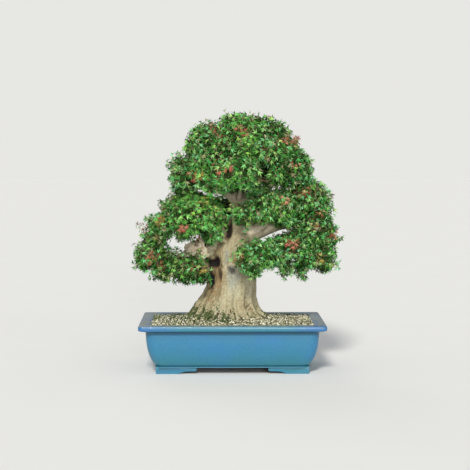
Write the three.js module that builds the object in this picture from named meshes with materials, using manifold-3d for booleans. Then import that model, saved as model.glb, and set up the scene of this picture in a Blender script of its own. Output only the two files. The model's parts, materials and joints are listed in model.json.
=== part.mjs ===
// A trident maple bonsai about 0.93 m tall in a blue glazed rectangular pot, as an informal upright
// tree: a heavy tapering trunk on spread surface roots, thick limbs and a leafy pad on each limb.
// Millimetres, +Z up, front of the tree towards -Y, +X to the viewer's right. The origin is on the
// ground under the middle of the pot.
import * as THREE from "three";
import { mergeVertices } from "three/addons/utils/BufferGeometryUtils.js";
import Module from "manifold-3d";

const wasm = await Module();
wasm.setup();

// Driving dimensions of the pot
const POT_LENGTH = 650;
const POT_DEPTH = 450;
const POT_HEIGHT = 173;
const POT_WALL = 16;
const POT_FLOOR = 14;
const RIM_WIDTH = 41;
const CORNER_STEPS = 3;
const FOOT_HEIGHT = 21;
const FOOT_REACH = 142;
const FOOT_THICKNESS = 24;
const BASE_INSET = 57;
const DRAIN_HOLE_RADIUS = 24;
const DRAIN_HOLE_X = 125;
const WIRE_HOLE_RADIUS = 3;
const WIRE_HOLE_X = 205;
const WIRE_HOLE_Y = 90;

// Driving dimensions of what the pot holds
const SCREEN_SIDE = 62;
const SCREEN_THICKNESS = 1.6;
const SCREEN_RIB = 3;
const SCREEN_OPENINGS = 3;
const CLIP_WIRE_RADIUS = 1.1;
const CLIP_BEND = 3;
const CLIP_HOLD = 8;
const WIRE_SIDES = 6;
const SOIL_EDGE_BELOW_RIM = 5;
const SOIL_MOUND = 17;
const GRAIN_RELIEF = 1.8;
const SOIL_SPANS = 4;

const TRUNK_SIDES = 22;
const TRUNK_SWELL = 0.03;
const ROOT_SWAY = 0.05;
const THICK_LIMB = 20;

// Driving dimensions of the leaves
const LEAF_LENGTH = 94;
const LEAF_CLEARANCE = 1.2;
const LEAF_SINK = 10;
const LEAF_LEAN = 20;
const LEAF_LEAN_SPREAD = 16;
const LEAF_TRIES = 3;
const LEAF_LIFT = 9;
const LEAF_SHRINK = 0.1;
const LEAVES_PER_M2 = 190;
const CORE_DEPTH = 42;
const CORE_LUMP = 4;
const BARE_BELOW = -0.5;

// Meshes hold 32-bit numbers, so pieces that touch keep this gap.
const SEAT_GAP = 0.35;

// Random draws, seeded so that each run gives the same tree
function seededRandom(seed) {
  let state = seed >>> 0;
  return () => {
    state = (state + 0x6d2b79f5) >>> 0;
    let t = state;
    t = Math.imul(t ^ (t >>> 15), t | 1);
    t ^= t + Math.imul(t ^ (t >>> 7), t | 61);
    return ((t ^ (t >>> 14)) >>> 0) / 4294967296;
  };
}

// Closed geometry to manifold solid, and back
function solidOf(geometry) {
  const plain = geometry.index ? geometry.toNonIndexed() : geometry.clone();
  for (const name of Object.keys(plain.attributes)) {
    if (name !== "position") plain.deleteAttribute(name);
  }
  const merged = mergeVertices(plain, 1e-3);
  return new wasm.Manifold(
    new wasm.Mesh({
      numProp: 3,
      vertProperties: merged.attributes.position.array,
      triVerts: new Uint32Array(merged.index.array),
    }),
  );
}

function geometryOf(solid) {
  const mesh = solid.getMesh();
  const positions = new Float32Array(mesh.numVert * 3);
  for (let i = 0; i < mesh.numVert; i++) {
    const from = i * mesh.numProp;
    positions.set(mesh.vertProperties.subarray(from, from + 3), i * 3);
  }
  const geometry = new THREE.BufferGeometry();
  geometry.setAttribute("position", new THREE.BufferAttribute(positions, 3));
  geometry.setIndex(new THREE.BufferAttribute(new Uint32Array(mesh.triVerts), 1));
  const flat = geometry.toNonIndexed();
  flat.computeVertexNormals();
  return flat;
}

// The largest of the bodies that a cut leaves
function largestBody(solid) {
  return solid.decompose().reduce((best, body) => (body.volume() > best.volume() ? body : best));
}

// A closed skin through rings of points that run anticlockwise seen from the last ring
function loft(rings) {
  const sides = rings[0].length;
  const points = rings.flat();
  const first = points.length;
  for (const ring of [rings[0], rings[rings.length - 1]]) {
    const middle = new THREE.Vector3();
    ring.forEach((p) => middle.addScaledVector(p, 1 / sides));
    points.push(middle);
  }
  const index = [];
  const top = (rings.length - 1) * sides;
  for (let i = 0; i < sides; i++) {
    const next = (i + 1) % sides;
    index.push(first, next, i, first + 1, top + i, top + next);
    for (let ring = 0; ring < rings.length - 1; ring++) {
      const low = ring * sides;
      const high = low + sides;
      index.push(low + i, low + next, high + next, low + i, high + next, high + i);
    }
  }
  const geometry = new THREE.BufferGeometry().setFromPoints(points);
  geometry.setIndex(index);
  return geometry;
}

// A level ring with the outline of a rectangle with round corners, each side in a number of spans
function roundedRectangle(halfX, halfY, radius, z, sideSpans = 1) {
  const corner = [];
  for (let quarter = 0; quarter < 4; quarter++) {
    const sideX = quarter === 0 || quarter === 3 ? 1 : -1;
    const sideY = quarter < 2 ? 1 : -1;
    for (let step = 0; step <= CORNER_STEPS; step++) {
      const angle = (Math.PI / 2) * (quarter + step / CORNER_STEPS);
      const x = sideX * (halfX - radius) + radius * Math.cos(angle);
      const y = sideY * (halfY - radius) + radius * Math.sin(angle);
      corner.push(new THREE.Vector3(x, y, z));
    }
  }
  const ring = [];
  corner.forEach((point, i) => {
    ring.push(point);
    if (i % (CORNER_STEPS + 1) < CORNER_STEPS) return;
    const next = corner[(i + 1) % corner.length];
    for (let span = 1; span < sideSpans; span++) {
      ring.push(point.clone().lerp(next, span / sideSpans));
    }
  });
  return ring;
}

// A tapered round branch along a smooth curve. extra fattens it for a clearance cut.
function branch(points, startRadius, endRadius, { sides = 8, steps = 6, extra = 0 } = {}) {
  const curve = new THREE.CatmullRomCurve3(points.map((p) => new THREE.Vector3(...p)));
  const frames = curve.computeFrenetFrames(steps);
  const rings = [];
  for (let step = 0; step <= steps; step++) {
    const share = step / steps;
    const centre = curve.getPointAt(share);
    if (step === steps) centre.addScaledVector(frames.tangents[step], extra);
    const radius = THREE.MathUtils.lerp(startRadius, endRadius, share ** 0.8) + extra;
    const ring = [];
    for (let i = 0; i < sides; i++) {
      const angle = (2 * Math.PI * i) / sides;
      ring.push(
        centre
          .clone()
          .addScaledVector(frames.normals[step], radius * Math.cos(angle))
          .addScaledVector(frames.binormals[step], radius * Math.sin(angle)),
      );
    }
    rings.push(ring);
  }
  return solidOf(loft(rings));
}

// The pot: [height, inset from the rim's outer face, corner radius] up the outside
const POT_PROFILE = [
  [FOOT_HEIGHT, BASE_INSET + 1, 22],
  [FOOT_HEIGHT + 3, BASE_INSET - 3, 24],
  [FOOT_HEIGHT + 7, BASE_INSET - 2, 24],
  [FOOT_HEIGHT + 9, BASE_INSET + 2, 22],
  [FOOT_HEIGHT + 12, BASE_INSET - 3, 26],
  [46, 45, 29],
  [66, 36, 30],
  [100, 28, 30],
  [151, 24, 30],
  [155, 3, 18],
  [158, 0, 14],
  [170, 0, 14],
  [POT_HEIGHT, 3, 12],
];
const POT_CAVITY = [
  [FOOT_HEIGHT + POT_FLOOR, 84, 18],
  [60, 62, 22],
  [100, RIM_WIDTH, 22],
  [POT_HEIGHT + 2, RIM_WIDTH, 22],
];

function potRings(profile, shrink = 0) {
  return profile.map(([z, inset, radius]) =>
    roundedRectangle(
      POT_LENGTH / 2 - inset - shrink,
      POT_DEPTH / 2 - inset - shrink,
      radius,
      z,
    ),
  );
}

// One leg of a foot, as its outline from the corner inwards: flat on the ground, then a wave upwards
function footLeg() {
  const sunk = FOOT_HEIGHT + 2;
  const outline = new THREE.Shape();
  outline.moveTo(0, 0);
  outline.lineTo(64, 0);
  outline.quadraticCurveTo(80, 0, 90, 5);
  outline.quadraticCurveTo(98, 9, FOOT_REACH - 14, 9);
  outline.quadraticCurveTo(FOOT_REACH, 9, FOOT_REACH, 15);
  outline.lineTo(FOOT_REACH - 2, sunk);
  outline.lineTo(0, sunk);
  const geometry = new THREE.ExtrudeGeometry(outline, {
    depth: FOOT_THICKNESS,
    bevelEnabled: false,
    curveSegments: 3,
  });
  geometry.rotateX(Math.PI / 2);
  geometry.translate(0, FOOT_THICKNESS, 0);
  return geometry;
}

// The foot of the front left corner: a leg along each side, mitred into one
function cornerFoot() {
  const along = solidOf(footLeg());
  const side = footLeg();
  side.rotateZ(Math.PI / 2);
  side.translate(FOOT_THICKNESS, 0, 0);
  return along.add(solidOf(side));
}

function drill(x, y, radius, sides) {
  const bore = new THREE.CylinderGeometry(radius, radius, 60, sides);
  bore.rotateX(Math.PI / 2);
  bore.translate(x, y, FOOT_HEIGHT + POT_FLOOR / 2);
  return solidOf(bore);
}

function makePot() {
  let pot = solidOf(loft(potRings(POT_PROFILE)));
  pot = pot.subtract(solidOf(loft(potRings(POT_CAVITY))));
  const foot = cornerFoot();
  const cornerX = POT_LENGTH / 2 - BASE_INSET;
  const cornerY = POT_DEPTH / 2 - BASE_INSET;
  for (const mirrorX of [false, true]) {
    for (const mirrorY of [false, true]) {
      let placed = foot.translate([-cornerX, -cornerY, 0]);
      if (mirrorX) placed = placed.mirror([1, 0, 0]);
      if (mirrorY) placed = placed.mirror([0, 1, 0]);
      pot = pot.add(placed);
    }
  }
  for (const side of [-1, 1]) {
    pot = pot.subtract(drill(side * DRAIN_HOLE_X, 0, DRAIN_HOLE_RADIUS, 18));
    for (const end of [-1, 1]) {
      pot = pot.subtract(drill(side * WIRE_HOLE_X, end * WIRE_HOLE_Y, WIRE_HOLE_RADIUS, 6));
    }
  }
  return pot;
}

// A square of coarse plastic mesh over a drainage hole
function makeScreen(x) {
  const plate = new THREE.BoxGeometry(SCREEN_SIDE, SCREEN_SIDE, SCREEN_THICKNESS);
  const pitch = (SCREEN_SIDE - SCREEN_RIB) / SCREEN_OPENINGS;
  const middle = (SCREEN_OPENINGS - 1) / 2;
  let screen = solidOf(plate);
  for (let row = 0; row < SCREEN_OPENINGS; row++) {
    for (let column = 0; column < SCREEN_OPENINGS; column++) {
      const side = pitch - SCREEN_RIB;
      const opening = new THREE.BoxGeometry(side, side, 2 * SCREEN_THICKNESS);
      opening.translate((column - middle) * pitch, (row - middle) * pitch, 0);
      screen = screen.subtract(solidOf(opening));
    }
  }
  const bottom = FOOT_HEIGHT + POT_FLOOR + SEAT_GAP;
  return screen.translate([x, 0, bottom + SCREEN_THICKNESS / 2]);
}

// The wire staple that holds a screen: over its middle ribs, down the hole and out under the pot
function makeClip(x) {
  const pitch = (SCREEN_SIDE - SCREEN_RIB) / SCREEN_OPENINGS;
  const over = FOOT_HEIGHT + POT_FLOOR + SCREEN_THICKNESS + 2 * SEAT_GAP + CLIP_WIRE_RADIUS;
  const under = FOOT_HEIGHT - SEAT_GAP - CLIP_WIRE_RADIUS;
  const leg = 0.8 * pitch;
  const end = DRAIN_HOLE_RADIUS + CLIP_HOLD;
  const corners = [
    [-end, under],
    [-leg - CLIP_BEND, under],
    [-leg, under + CLIP_BEND],
    [-leg, over - CLIP_BEND],
    [-leg + CLIP_BEND, over],
    [leg - CLIP_BEND, over],
    [leg, over - CLIP_BEND],
    [leg, under + CLIP_BEND],
    [leg + CLIP_BEND, under],
    [end, under],
  ];
  const rings = corners.map(([along, z], i) => {
    const before = corners[Math.max(i - 1, 0)];
    const after = corners[Math.min(i + 1, corners.length - 1)];
    const run = new THREE.Vector3(after[0] - before[0], 0, after[1] - before[1]).normalize();
    const across = new THREE.Vector3(0, 1, 0);
    const up = new THREE.Vector3().crossVectors(run, across);
    const ring = [];
    for (let side = 0; side < WIRE_SIDES; side++) {
      const angle = (2 * Math.PI * side) / WIRE_SIDES;
      ring.push(
        new THREE.Vector3(x + along, 0, z)
          .addScaledVector(across, CLIP_WIRE_RADIUS * Math.cos(angle))
          .addScaledVector(up, CLIP_WIRE_RADIUS * Math.sin(angle)),
      );
    }
    return ring;
  });
  return solidOf(loft(rings));
}

// The trunk, from under the soil to the tree's tip: [height, middle x, middle y, half width, half depth]
const TRUNK = [
  [118, -20, 0, 112, 96],
  [165, -20, 0, 134, 112],
  [186, -20, -2, 136, 114],
  [214, -20, -2, 126, 105],
  [250, -16, -2, 102, 87],
  [285, -6, -2, 89, 77],
  [335, 3, -3, 84, 70],
  [410, 0, 0, 83, 67],
  [445, 5, 2, 78, 63],
  [475, 19, 4, 64, 55],
  [505, 32, 4, 51, 46],
  [545, 34, 2, 41, 37],
  [610, 22, -1, 29, 27],
  [680, 25, -4, 20, 19],
  [760, 31, 0, 12, 11],
  [850, 28, 0, 4, 4],
];

// The surface roots: [direction in degrees with the front at -90, radius where it meets the soil]
const ROOTS = [
  [180, 21],
  [205, 16],
  [228, 18],
  [252, 17],
  [278, 16],
  [303, 17],
  [328, 16],
  [353, 20],
  [30, 16],
  [72, 17],
  [110, 15],
  [146, 18],
];

// The way of a root: [height, how far its middle stands out of the trunk's skin]
const ROOT_WAY = [
  [330, -8],
  [280, -6],
  [236, -3],
  [204, 1],
  [184, 8],
  [160, 26],
];

// The trunk's middle and half sizes at a height
function trunkAt(height) {
  const above = Math.max(1, TRUNK.findIndex(([z]) => z >= height));
  const low = TRUNK[above - 1];
  const high = TRUNK[above];
  const share = (height - low[0]) / (high[0] - low[0]);
  return low.map((value, i) => THREE.MathUtils.lerp(value, high[i], share));
}

function makeTrunk(extra) {
  const rings = TRUNK.map(([z, middleX, middleY, halfX, halfY]) => {
    const ring = [];
    for (let i = 0; i < TRUNK_SIDES; i++) {
      const angle = (2 * Math.PI * i) / TRUNK_SIDES;
      const swell = 1 + TRUNK_SWELL * Math.sin(5 * angle + z / 70);
      const x = middleX + (halfX * swell + extra) * Math.cos(angle);
      const y = middleY + (halfY * swell + extra) * Math.sin(angle);
      ring.push(new THREE.Vector3(x, y, z));
    }
    return ring;
  });
  return solidOf(loft(rings));
}

// A root runs down the trunk's skin as a ridge, spreads over the soil and dives into it
function makeRoot([direction, radius], extra) {
  const angle = (direction * Math.PI) / 180;
  const points = ROOT_WAY.map(([z, out], i) => {
    const [, middleX, middleY, halfX, halfY] = trunkAt(z);
    const turn = angle + ROOT_SWAY * Math.sin(direction + 1.4 * i);
    return [
      middleX + (halfX + out) * Math.cos(turn),
      middleY + (halfY + out) * Math.sin(turn),
      z,
    ];
  });
  return branch(points, 0.45 * radius, radius, { sides: 6, steps: 5, extra });
}

// The limbs: [points from inside the trunk out into the leaves, radius at the trunk, radius at the end]
const LIMBS = {
  low_left: [[[-20, 0, 420], [-85, -14, 432], [-150, -24, 408], [-216, -20, 382]], 42, 13],
  mid_left: [[[10, 0, 470], [-42, -8, 508], [-90, -26, 526], [-130, -34, 540]], 29, 10],
  far_left: [[[-30, -4, 500], [-100, 10, 512], [-170, 6, 508], [-240, -8, 508]], 20, 8],
  mid_right: [[[20, -5, 462], [88, -22, 494], [125, -44, 530], [140, -56, 565]], 32, 10],
  far_right: [[[80, -12, 480], [160, -2, 506], [235, 8, 524], [292, 4, 556]], 26, 9],
  low_right: [[[20, 0, 400], [105, 8, 428], [170, -4, 436], [232, -12, 426]], 29, 11],
  front_right: [[[40, -20, 415], [70, -84, 432], [94, -144, 424]], 18, 8],
  upper_left: [[[24, 0, 580], [-30, -10, 628], [-110, -18, 662]], 18, 7],
  upper_right: [[[26, 0, 575], [90, -6, 630], [185, -12, 668]], 19, 7],
  upper_front: [[[22, -5, 590], [28, -64, 632], [32, -130, 672]], 15, 6],
  upper_back: [[[22, 5, 600], [28, 75, 650], [30, 136, 688]], 15, 6],
  back_left: [[[16, 5, 495], [-50, 85, 532], [-105, 146, 556]], 18, 7],
  back_right: [[[34, 5, 505], [90, 85, 522], [150, 142, 545]], 18, 7],
  back_low: [[[0, 20, 415], [-10, 100, 432], [-15, 158, 434]], 19, 8],
};

// Old wounds: [middle, half sizes] of a hollow in the left flank and a healed cut on the front
const HOLLOWS = [
  [[-72, -66, 345], [17, 26, 50]],
  [[-2, -84, 352], [14, 13, 18]],
];

function makeHollow([middle, half]) {
  const hollow = new THREE.IcosahedronGeometry(1, 1);
  hollow.scale(...half);
  hollow.translate(...middle);
  return solidOf(hollow);
}

// All the wood as one solid. extra fattens it, for the holes that it stands in.
function makeWood(extra = 0) {
  const limbs = Object.values(LIMBS).map(([points, start, end]) => {
    const detail = start > THICK_LIMB ? { sides: 9, steps: 5 } : { sides: 6, steps: 4 };
    return branch(points, start, end, { ...detail, extra });
  });
  const roots = ROOTS.map((root) => makeRoot(root, extra));
  let wood = makeTrunk(extra);
  for (const piece of [...limbs, ...roots]) wood = wood.add(piece);
  if (extra === 0) {
    for (const hollow of HOLLOWS) wood = wood.subtract(makeHollow(hollow));
  }
  return wood;
}

// The height of the soil's surface: a mound about the trunk, with grains in relief
function soilHeight(x, y) {
  const edge = POT_HEIGHT - SOIL_EDGE_BELOW_RIM;
  const away = Math.hypot((x + 20) / 270, y / 190);
  const mound = SOIL_MOUND * Math.exp(-((1.25 * away) ** 4));
  const grains = Math.sin(0.31 * x + 1.3 * Math.sin(0.11 * y)) * Math.sin(0.37 * y + Math.sin(0.13 * x));
  return edge + mound + GRAIN_RELIEF * grains;
}

function makeSoil(woodHole, drains) {
  const shrink = SEAT_GAP;
  const sides = POT_CAVITY.map(([z, inset, radius], level) =>
    roundedRectangle(
      POT_LENGTH / 2 - inset - shrink,
      POT_DEPTH / 2 - inset - shrink,
      radius,
      level === 0 ? z + SEAT_GAP : Math.min(z, POT_HEIGHT - SOIL_EDGE_BELOW_RIM - 4),
      SOIL_SPANS,
    ),
  );
  const outline = sides[sides.length - 1];
  const shares = [1, 0.93, 0.84, 0.74, 0.63, 0.5];
  const surface = shares.map((share) =>
    outline.map((p) => {
      const x = p.x * share;
      const y = p.y * share;
      return new THREE.Vector3(x, y, soilHeight(x, y));
    }),
  );
  let soil = solidOf(loft([...sides, ...surface]));
  soil = soil.subtract(woodHole);
  for (const drain of drains) soil = soil.subtract(drain);
  return largestBody(soil);
}

// The space over a drainage hole that a screen and its clip take up
function drainRecess(x) {
  const side = SCREEN_SIDE + 2 * SEAT_GAP;
  const height = SCREEN_THICKNESS + 2 * CLIP_WIRE_RADIUS + 4 * SEAT_GAP;
  const box = new THREE.BoxGeometry(side, side, height);
  box.translate(x, 0, FOOT_HEIGHT + POT_FLOOR + height / 2);
  return solidOf(box);
}

// The leafy pads, one on each limb and one at the apex, out to the leaf tips:
// [middle, half sizes, half height below the middle]
const PADS = {
  apex: [[36, 0, 750], [206, 184, 206], 84],
  upper_left: [[-100, -14, 680], [128, 156, 104], 88],
  upper_right: [[176, -10, 690], [124, 156, 104], 84],
  upper_front: [[34, -150, 682], [145, 120, 104], 84],
  upper_back: [[34, 146, 690], [150, 118, 106], 78],
  mid_left: [[-112, -40, 542], [130, 152, 84], 84],
  far_left: [[-244, -8, 512], [108, 136, 78], 74],
  low_left: [[-222, -15, 378], [144, 142, 74], 70],
  mid_right: [[138, -60, 580], [140, 142, 72], 62],
  far_right: [[282, 4, 566], [100, 138, 104], 108],
  low_right: [[228, -12, 420], [144, 152, 86], 84],
  front_right: [[92, -152, 424], [100, 104, 82], 74],
  back_left: [[-110, 140, 560], [138, 114, 84], 72],
  back_right: [[150, 134, 548], [140, 114, 90], 74],
  back_low: [[-15, 150, 430], [126, 104, 70], 60],
};

// A pad's half sizes on the side of a direction, less a depth
function halfSizes([, [x, y, z], under], direction, depth = 0) {
  return new THREE.Vector3(x - depth, y - depth, (direction.z < 0 ? under : z) - depth);
}

function onPad(pad, direction, depth) {
  const half = halfSizes(pad, direction, depth);
  return new THREE.Vector3(...pad[0]).add(half.multiply(direction));
}

function insidePad(pad, point, share) {
  const away = point.clone().sub(new THREE.Vector3(...pad[0]));
  return away.divide(halfSizes(pad, away)).length() < share;
}

// The core of a pad, lumpy, inside the leaves that stand out of it
function makeCore(pad, extra = 0) {
  const core = new THREE.IcosahedronGeometry(1, 1);
  const at = core.attributes.position;
  const direction = new THREE.Vector3();
  for (let i = 0; i < at.count; i++) {
    direction.fromBufferAttribute(at, i);
    const wave = Math.sin(7 * direction.x + pad[0][0]) * Math.sin(6 * direction.y + pad[0][2]);
    const point = onPad(pad, direction, CORE_DEPTH - CORE_LUMP * wave - extra);
    at.setXYZ(i, point.x, point.y, point.z);
  }
  return solidOf(core);
}

// A three-lobed leaf of unit length, from its stalk at the origin along +Y, with its face up
const LEAF_HALF_OUTLINE = [
  [0.54, 0.58, -0.08],
  [0.18, 0.6, 0.0],
];
const LEAF_TIP = [0, 1, -0.1];
const LEAF_RIDGE = 0.035;

function leafGeometry(thicker = 0) {
  const right = LEAF_HALF_OUTLINE;
  const left = right.map(([x, y, z]) => [-x, y, z]).reverse();
  const outline = [[0, 0, 0], ...right, LEAF_TIP, ...left];
  const points = outline.map((p) => new THREE.Vector3(...p));
  points.push(new THREE.Vector3(0, 0.42, LEAF_RIDGE + thicker));
  points.push(new THREE.Vector3(0, 0.42, -LEAF_RIDGE / 2 - thicker));
  const count = outline.length;
  const index = [];
  for (let i = 0; i < count; i++) {
    const next = (i + 1) % count;
    index.push(count, i, next, count + 1, next, i);
  }
  const geometry = new THREE.BufferGeometry().setFromPoints(points);
  geometry.setIndex(index);
  return geometry;
}

const UP = new THREE.Vector3(0, 0, 1);

// Where one leaf of a pad sits: its stalk just inside the core, its blade leaning out and drooping
function leafPlace(pad, direction, random, lift) {
  const half = halfSizes(pad, direction);
  const normal = direction.clone().divide(half).normalize();
  const spin = random() * 2 * Math.PI;
  const along = new THREE.Vector3(Math.cos(spin), Math.sin(spin), 0).multiplyScalar(0.35);
  along.addScaledVector(UP, -1).addScaledVector(direction, 0.25);
  along.addScaledVector(normal, -along.dot(normal)).normalize();
  const lean = THREE.MathUtils.degToRad(LEAF_LEAN + LEAF_LEAN_SPREAD * random() + lift);
  const axis = along.clone().multiplyScalar(Math.cos(lean)).addScaledVector(normal, Math.sin(lean));
  const face = normal.clone().multiplyScalar(Math.cos(lean)).addScaledVector(along, -Math.sin(lean));
  const across = new THREE.Vector3().crossVectors(axis, face);
  const foot = onPad(pad, direction, CORE_DEPTH + LEAF_SINK);
  return new THREE.Matrix4().makeBasis(across, axis, face).setPosition(foot);
}

// The surface of an ellipsoid, by Thomsen's formula, in square metres
function ellipsoidArea([a, b, c]) {
  const p = 1.6075;
  const mean = ((a * b) ** p + (a * c) ** p + (b * c) ** p) / 3;
  return (4 * Math.PI * mean ** (1 / p)) / 1e6;
}

// One pad: its core, and leaves spread evenly over it, each bent clear of its neighbours
function makePad(name, core, obstacles, seed) {
  const pad = PADS[name];
  const random = seededRandom(seed);
  const count = Math.round(ellipsoidArea(pad[1]) * LEAVES_PER_M2);
  const golden = Math.PI * (3 - Math.sqrt(5));
  const others = Object.entries(PADS).filter(([other]) => other !== name);
  const placed = [core];
  for (let i = 0; i < count; i++) {
    const z = 1 - (2 * (i + 0.5)) / count;
    const around = Math.sqrt(1 - z * z);
    const direction = new THREE.Vector3(
      around * Math.cos(golden * i),
      around * Math.sin(golden * i),
      z,
    );
    const size = LEAF_LENGTH * THREE.MathUtils.lerp(0.86, 1.14, random());
    const surface = onPad(pad, direction, CORE_DEPTH / 2);
    if (z < BARE_BELOW || others.some(([, other]) => insidePad(other, surface, 0.75))) continue;
    for (let attempt = 0; attempt < LEAF_TRIES; attempt++) {
      const place = leafPlace(pad, direction, random, LEAF_LIFT * attempt);
      const length = size * (1 - LEAF_SHRINK * attempt);
      place.scale(new THREE.Vector3(length, length, length));
      const leaf = solidOf(leafGeometry().applyMatrix4(place));
      const roomy = solidOf(leafGeometry(LEAF_CLEARANCE / size).applyMatrix4(place));
      if (obstacles.every((obstacle) => roomy.intersect(obstacle).isEmpty())) {
        placed.push(leaf);
        break;
      }
    }
  }
  return placed.reduce((sum, piece) => sum.add(piece));
}

// Each core keeps clear of those before it, and each leaf of every other pad and of the wood.
function makeFoliage(woodHole) {
  const cores = {};
  const fattened = [];
  for (const [name, pad] of Object.entries(PADS)) {
    let core = makeCore(pad).subtract(woodHole);
    for (const other of fattened) core = core.subtract(other);
    cores[name] = largestBody(core);
    fattened.push(makeCore(pad, LEAF_CLEARANCE));
  }
  const foliage = {};
  Object.keys(PADS).forEach((name, i) => {
    const obstacles = [woodHole];
    for (const other of Object.keys(PADS)) {
      if (other !== name) obstacles.push(foliage[other] ?? cores[other]);
    }
    foliage[name] = largestBody(makePad(name, cores[name], obstacles, 101 + i));
  });
  return foliage;
}

// Finishes
const glaze = new THREE.MeshStandardMaterial({ color: 0x3f8fb8, roughness: 0.3, metalness: 0 });
const mesh = new THREE.MeshStandardMaterial({ color: 0x1c1d1b, roughness: 0.7, metalness: 0 });
const wire = new THREE.MeshStandardMaterial({ color: 0x9a9da0, roughness: 0.4, metalness: 0.9 });
const gravel = new THREE.MeshStandardMaterial({ color: 0xb3a584, roughness: 1, metalness: 0 });
const bark = new THREE.MeshStandardMaterial({ color: 0xa38e6c, roughness: 0.9, metalness: 0 });
const leaf = new THREE.MeshStandardMaterial({ color: 0x3d8a3a, roughness: 0.6, metalness: 0 });

function named(name, solid, material) {
  const made = new THREE.Mesh(geometryOf(solid), material);
  made.name = name;
  return made;
}

const bonsai = new THREE.Group();
const woodHole = makeWood(SEAT_GAP);
const drainX = { left: -DRAIN_HOLE_X, right: DRAIN_HOLE_X };
bonsai.add(named("pot", makePot(), glaze));
for (const [side, x] of Object.entries(drainX)) {
  bonsai.add(named(`drain_screen_${side}`, makeScreen(x), mesh));
  bonsai.add(named(`screen_clip_${side}`, makeClip(x), wire));
}
bonsai.add(named("soil", makeSoil(woodHole, Object.values(drainX).map(drainRecess)), gravel));
bonsai.add(named("trunk_and_branches", makeWood(), bark));
for (const [name, solid] of Object.entries(makeFoliage(woodHole))) {
  bonsai.add(named(`foliage_${name}`, solid, leaf));
}

export default bonsai;
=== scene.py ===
"""A trident maple bonsai in a blue rectangular pot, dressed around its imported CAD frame.

Sizes are in metres. The ground is z = 0, and the front of the tree looks towards -Y.
"""

import sys

import json
import logging
import math
from dataclasses import dataclass, field
from enum import Enum
from itertools import product
from typing import Any, Callable, Sequence, Union

import bmesh
import bpy
import numpy as np
from bpy.types import Collection, Material, Mesh, Node, NodeSocket, NodeTree, Object
from mathutils import Matrix, Vector

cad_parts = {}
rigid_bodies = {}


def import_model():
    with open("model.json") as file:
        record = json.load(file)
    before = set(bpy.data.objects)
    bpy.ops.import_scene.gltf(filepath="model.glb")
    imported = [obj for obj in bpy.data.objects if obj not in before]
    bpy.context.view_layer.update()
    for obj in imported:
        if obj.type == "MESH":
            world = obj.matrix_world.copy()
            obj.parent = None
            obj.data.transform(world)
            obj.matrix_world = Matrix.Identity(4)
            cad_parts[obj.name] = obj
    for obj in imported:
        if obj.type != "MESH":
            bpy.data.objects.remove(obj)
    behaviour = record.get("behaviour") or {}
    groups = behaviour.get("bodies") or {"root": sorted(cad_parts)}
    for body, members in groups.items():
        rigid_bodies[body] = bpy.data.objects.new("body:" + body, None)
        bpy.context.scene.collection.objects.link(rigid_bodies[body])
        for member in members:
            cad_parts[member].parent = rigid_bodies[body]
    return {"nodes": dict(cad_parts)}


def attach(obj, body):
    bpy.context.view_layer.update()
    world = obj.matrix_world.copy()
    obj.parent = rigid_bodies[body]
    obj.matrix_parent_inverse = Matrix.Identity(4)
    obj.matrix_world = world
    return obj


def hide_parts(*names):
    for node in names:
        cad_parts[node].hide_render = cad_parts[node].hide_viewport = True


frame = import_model()

log = logging.getLogger("bonsai")
Point = tuple[float, float, float]
Colour = tuple[float, float, float]
Pair = tuple[float, float]
Rng = np.random.Generator
Array = np.ndarray
Arrays = tuple[Array, Array]
Term = Union["Val", float, int]
UP = np.array([0.0, 0.0, 1.0])
MM = 1000  # millimetres in a metre
WELD = 1e-5  # points closer than this many metres are one
TINY = 1e-9
FULL_TURN = 6.2832
GOLDEN_TURN = 2.4  # radians from one shoot of a clump to the next


# Node trees


def paired(operation: str, swapped: bool = False) -> Callable[["Val", Term], "Val"]:
    """Makes a method of Val that adds one Math node for it and another value.

    Args:
        operation: the node's operation.
        swapped: whether the other value comes first.

    Returns:
        The method.
    """

    def method(this: "Val", other: Term) -> "Val":
        """The operation's result."""
        return this.math(operation, other, this) if swapped else this.math(operation, this, other)

    return method


def enabled(sockets: Any, name: str) -> NodeSocket:
    """The socket of that name that is in use."""
    return next(s for s in sockets if s.name == name and s.enabled)


class Val:
    """A socket that adds Math nodes when Python reckons with it."""

    def __init__(self, tree: "Tree", socket: NodeSocket) -> None:
        """Wraps one output socket of a tree."""
        self.tree, self.socket = tree, socket

    def math(self, operation: str, first: Term, second: Term = 0.0, clamp: bool = False) -> "Val":
        """The result of one Math node.

        Args:
            operation: the node's operation.
            first: the first value.
            second: the second value.
            clamp: whether the result stays from 0 to 1.

        Returns:
            The node's value.
        """
        inputs = {0: first, 1: second}
        return self.tree.node("ShaderNodeMath", inputs, operation=operation, use_clamp=clamp)["Value"]

    __add__, __radd__ = paired("ADD"), paired("ADD", swapped=True)
    __sub__, __rsub__ = paired("SUBTRACT"), paired("SUBTRACT", swapped=True)
    __mul__, __rmul__ = paired("MULTIPLY"), paired("MULTIPLY", swapped=True)
    least = paired("MINIMUM")

    def __abs__(self) -> "Val":
        """This without its sign."""
        return self.math("ABSOLUTE", self)

    def clamped(self) -> "Val":
        """This kept from 0 to 1."""
        return self.math("ADD", self, 0.0, clamp=True)


class Knot:
    """A node whose outputs are read by name."""

    def __init__(self, tree: "Tree", made: Node) -> None:
        """Wraps a node of a tree."""
        self.tree, self.made = tree, made

    def __getitem__(self, name: str) -> Val:
        """The enabled output of that name."""
        return Val(self.tree, enabled(self.made.outputs, name))


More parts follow.
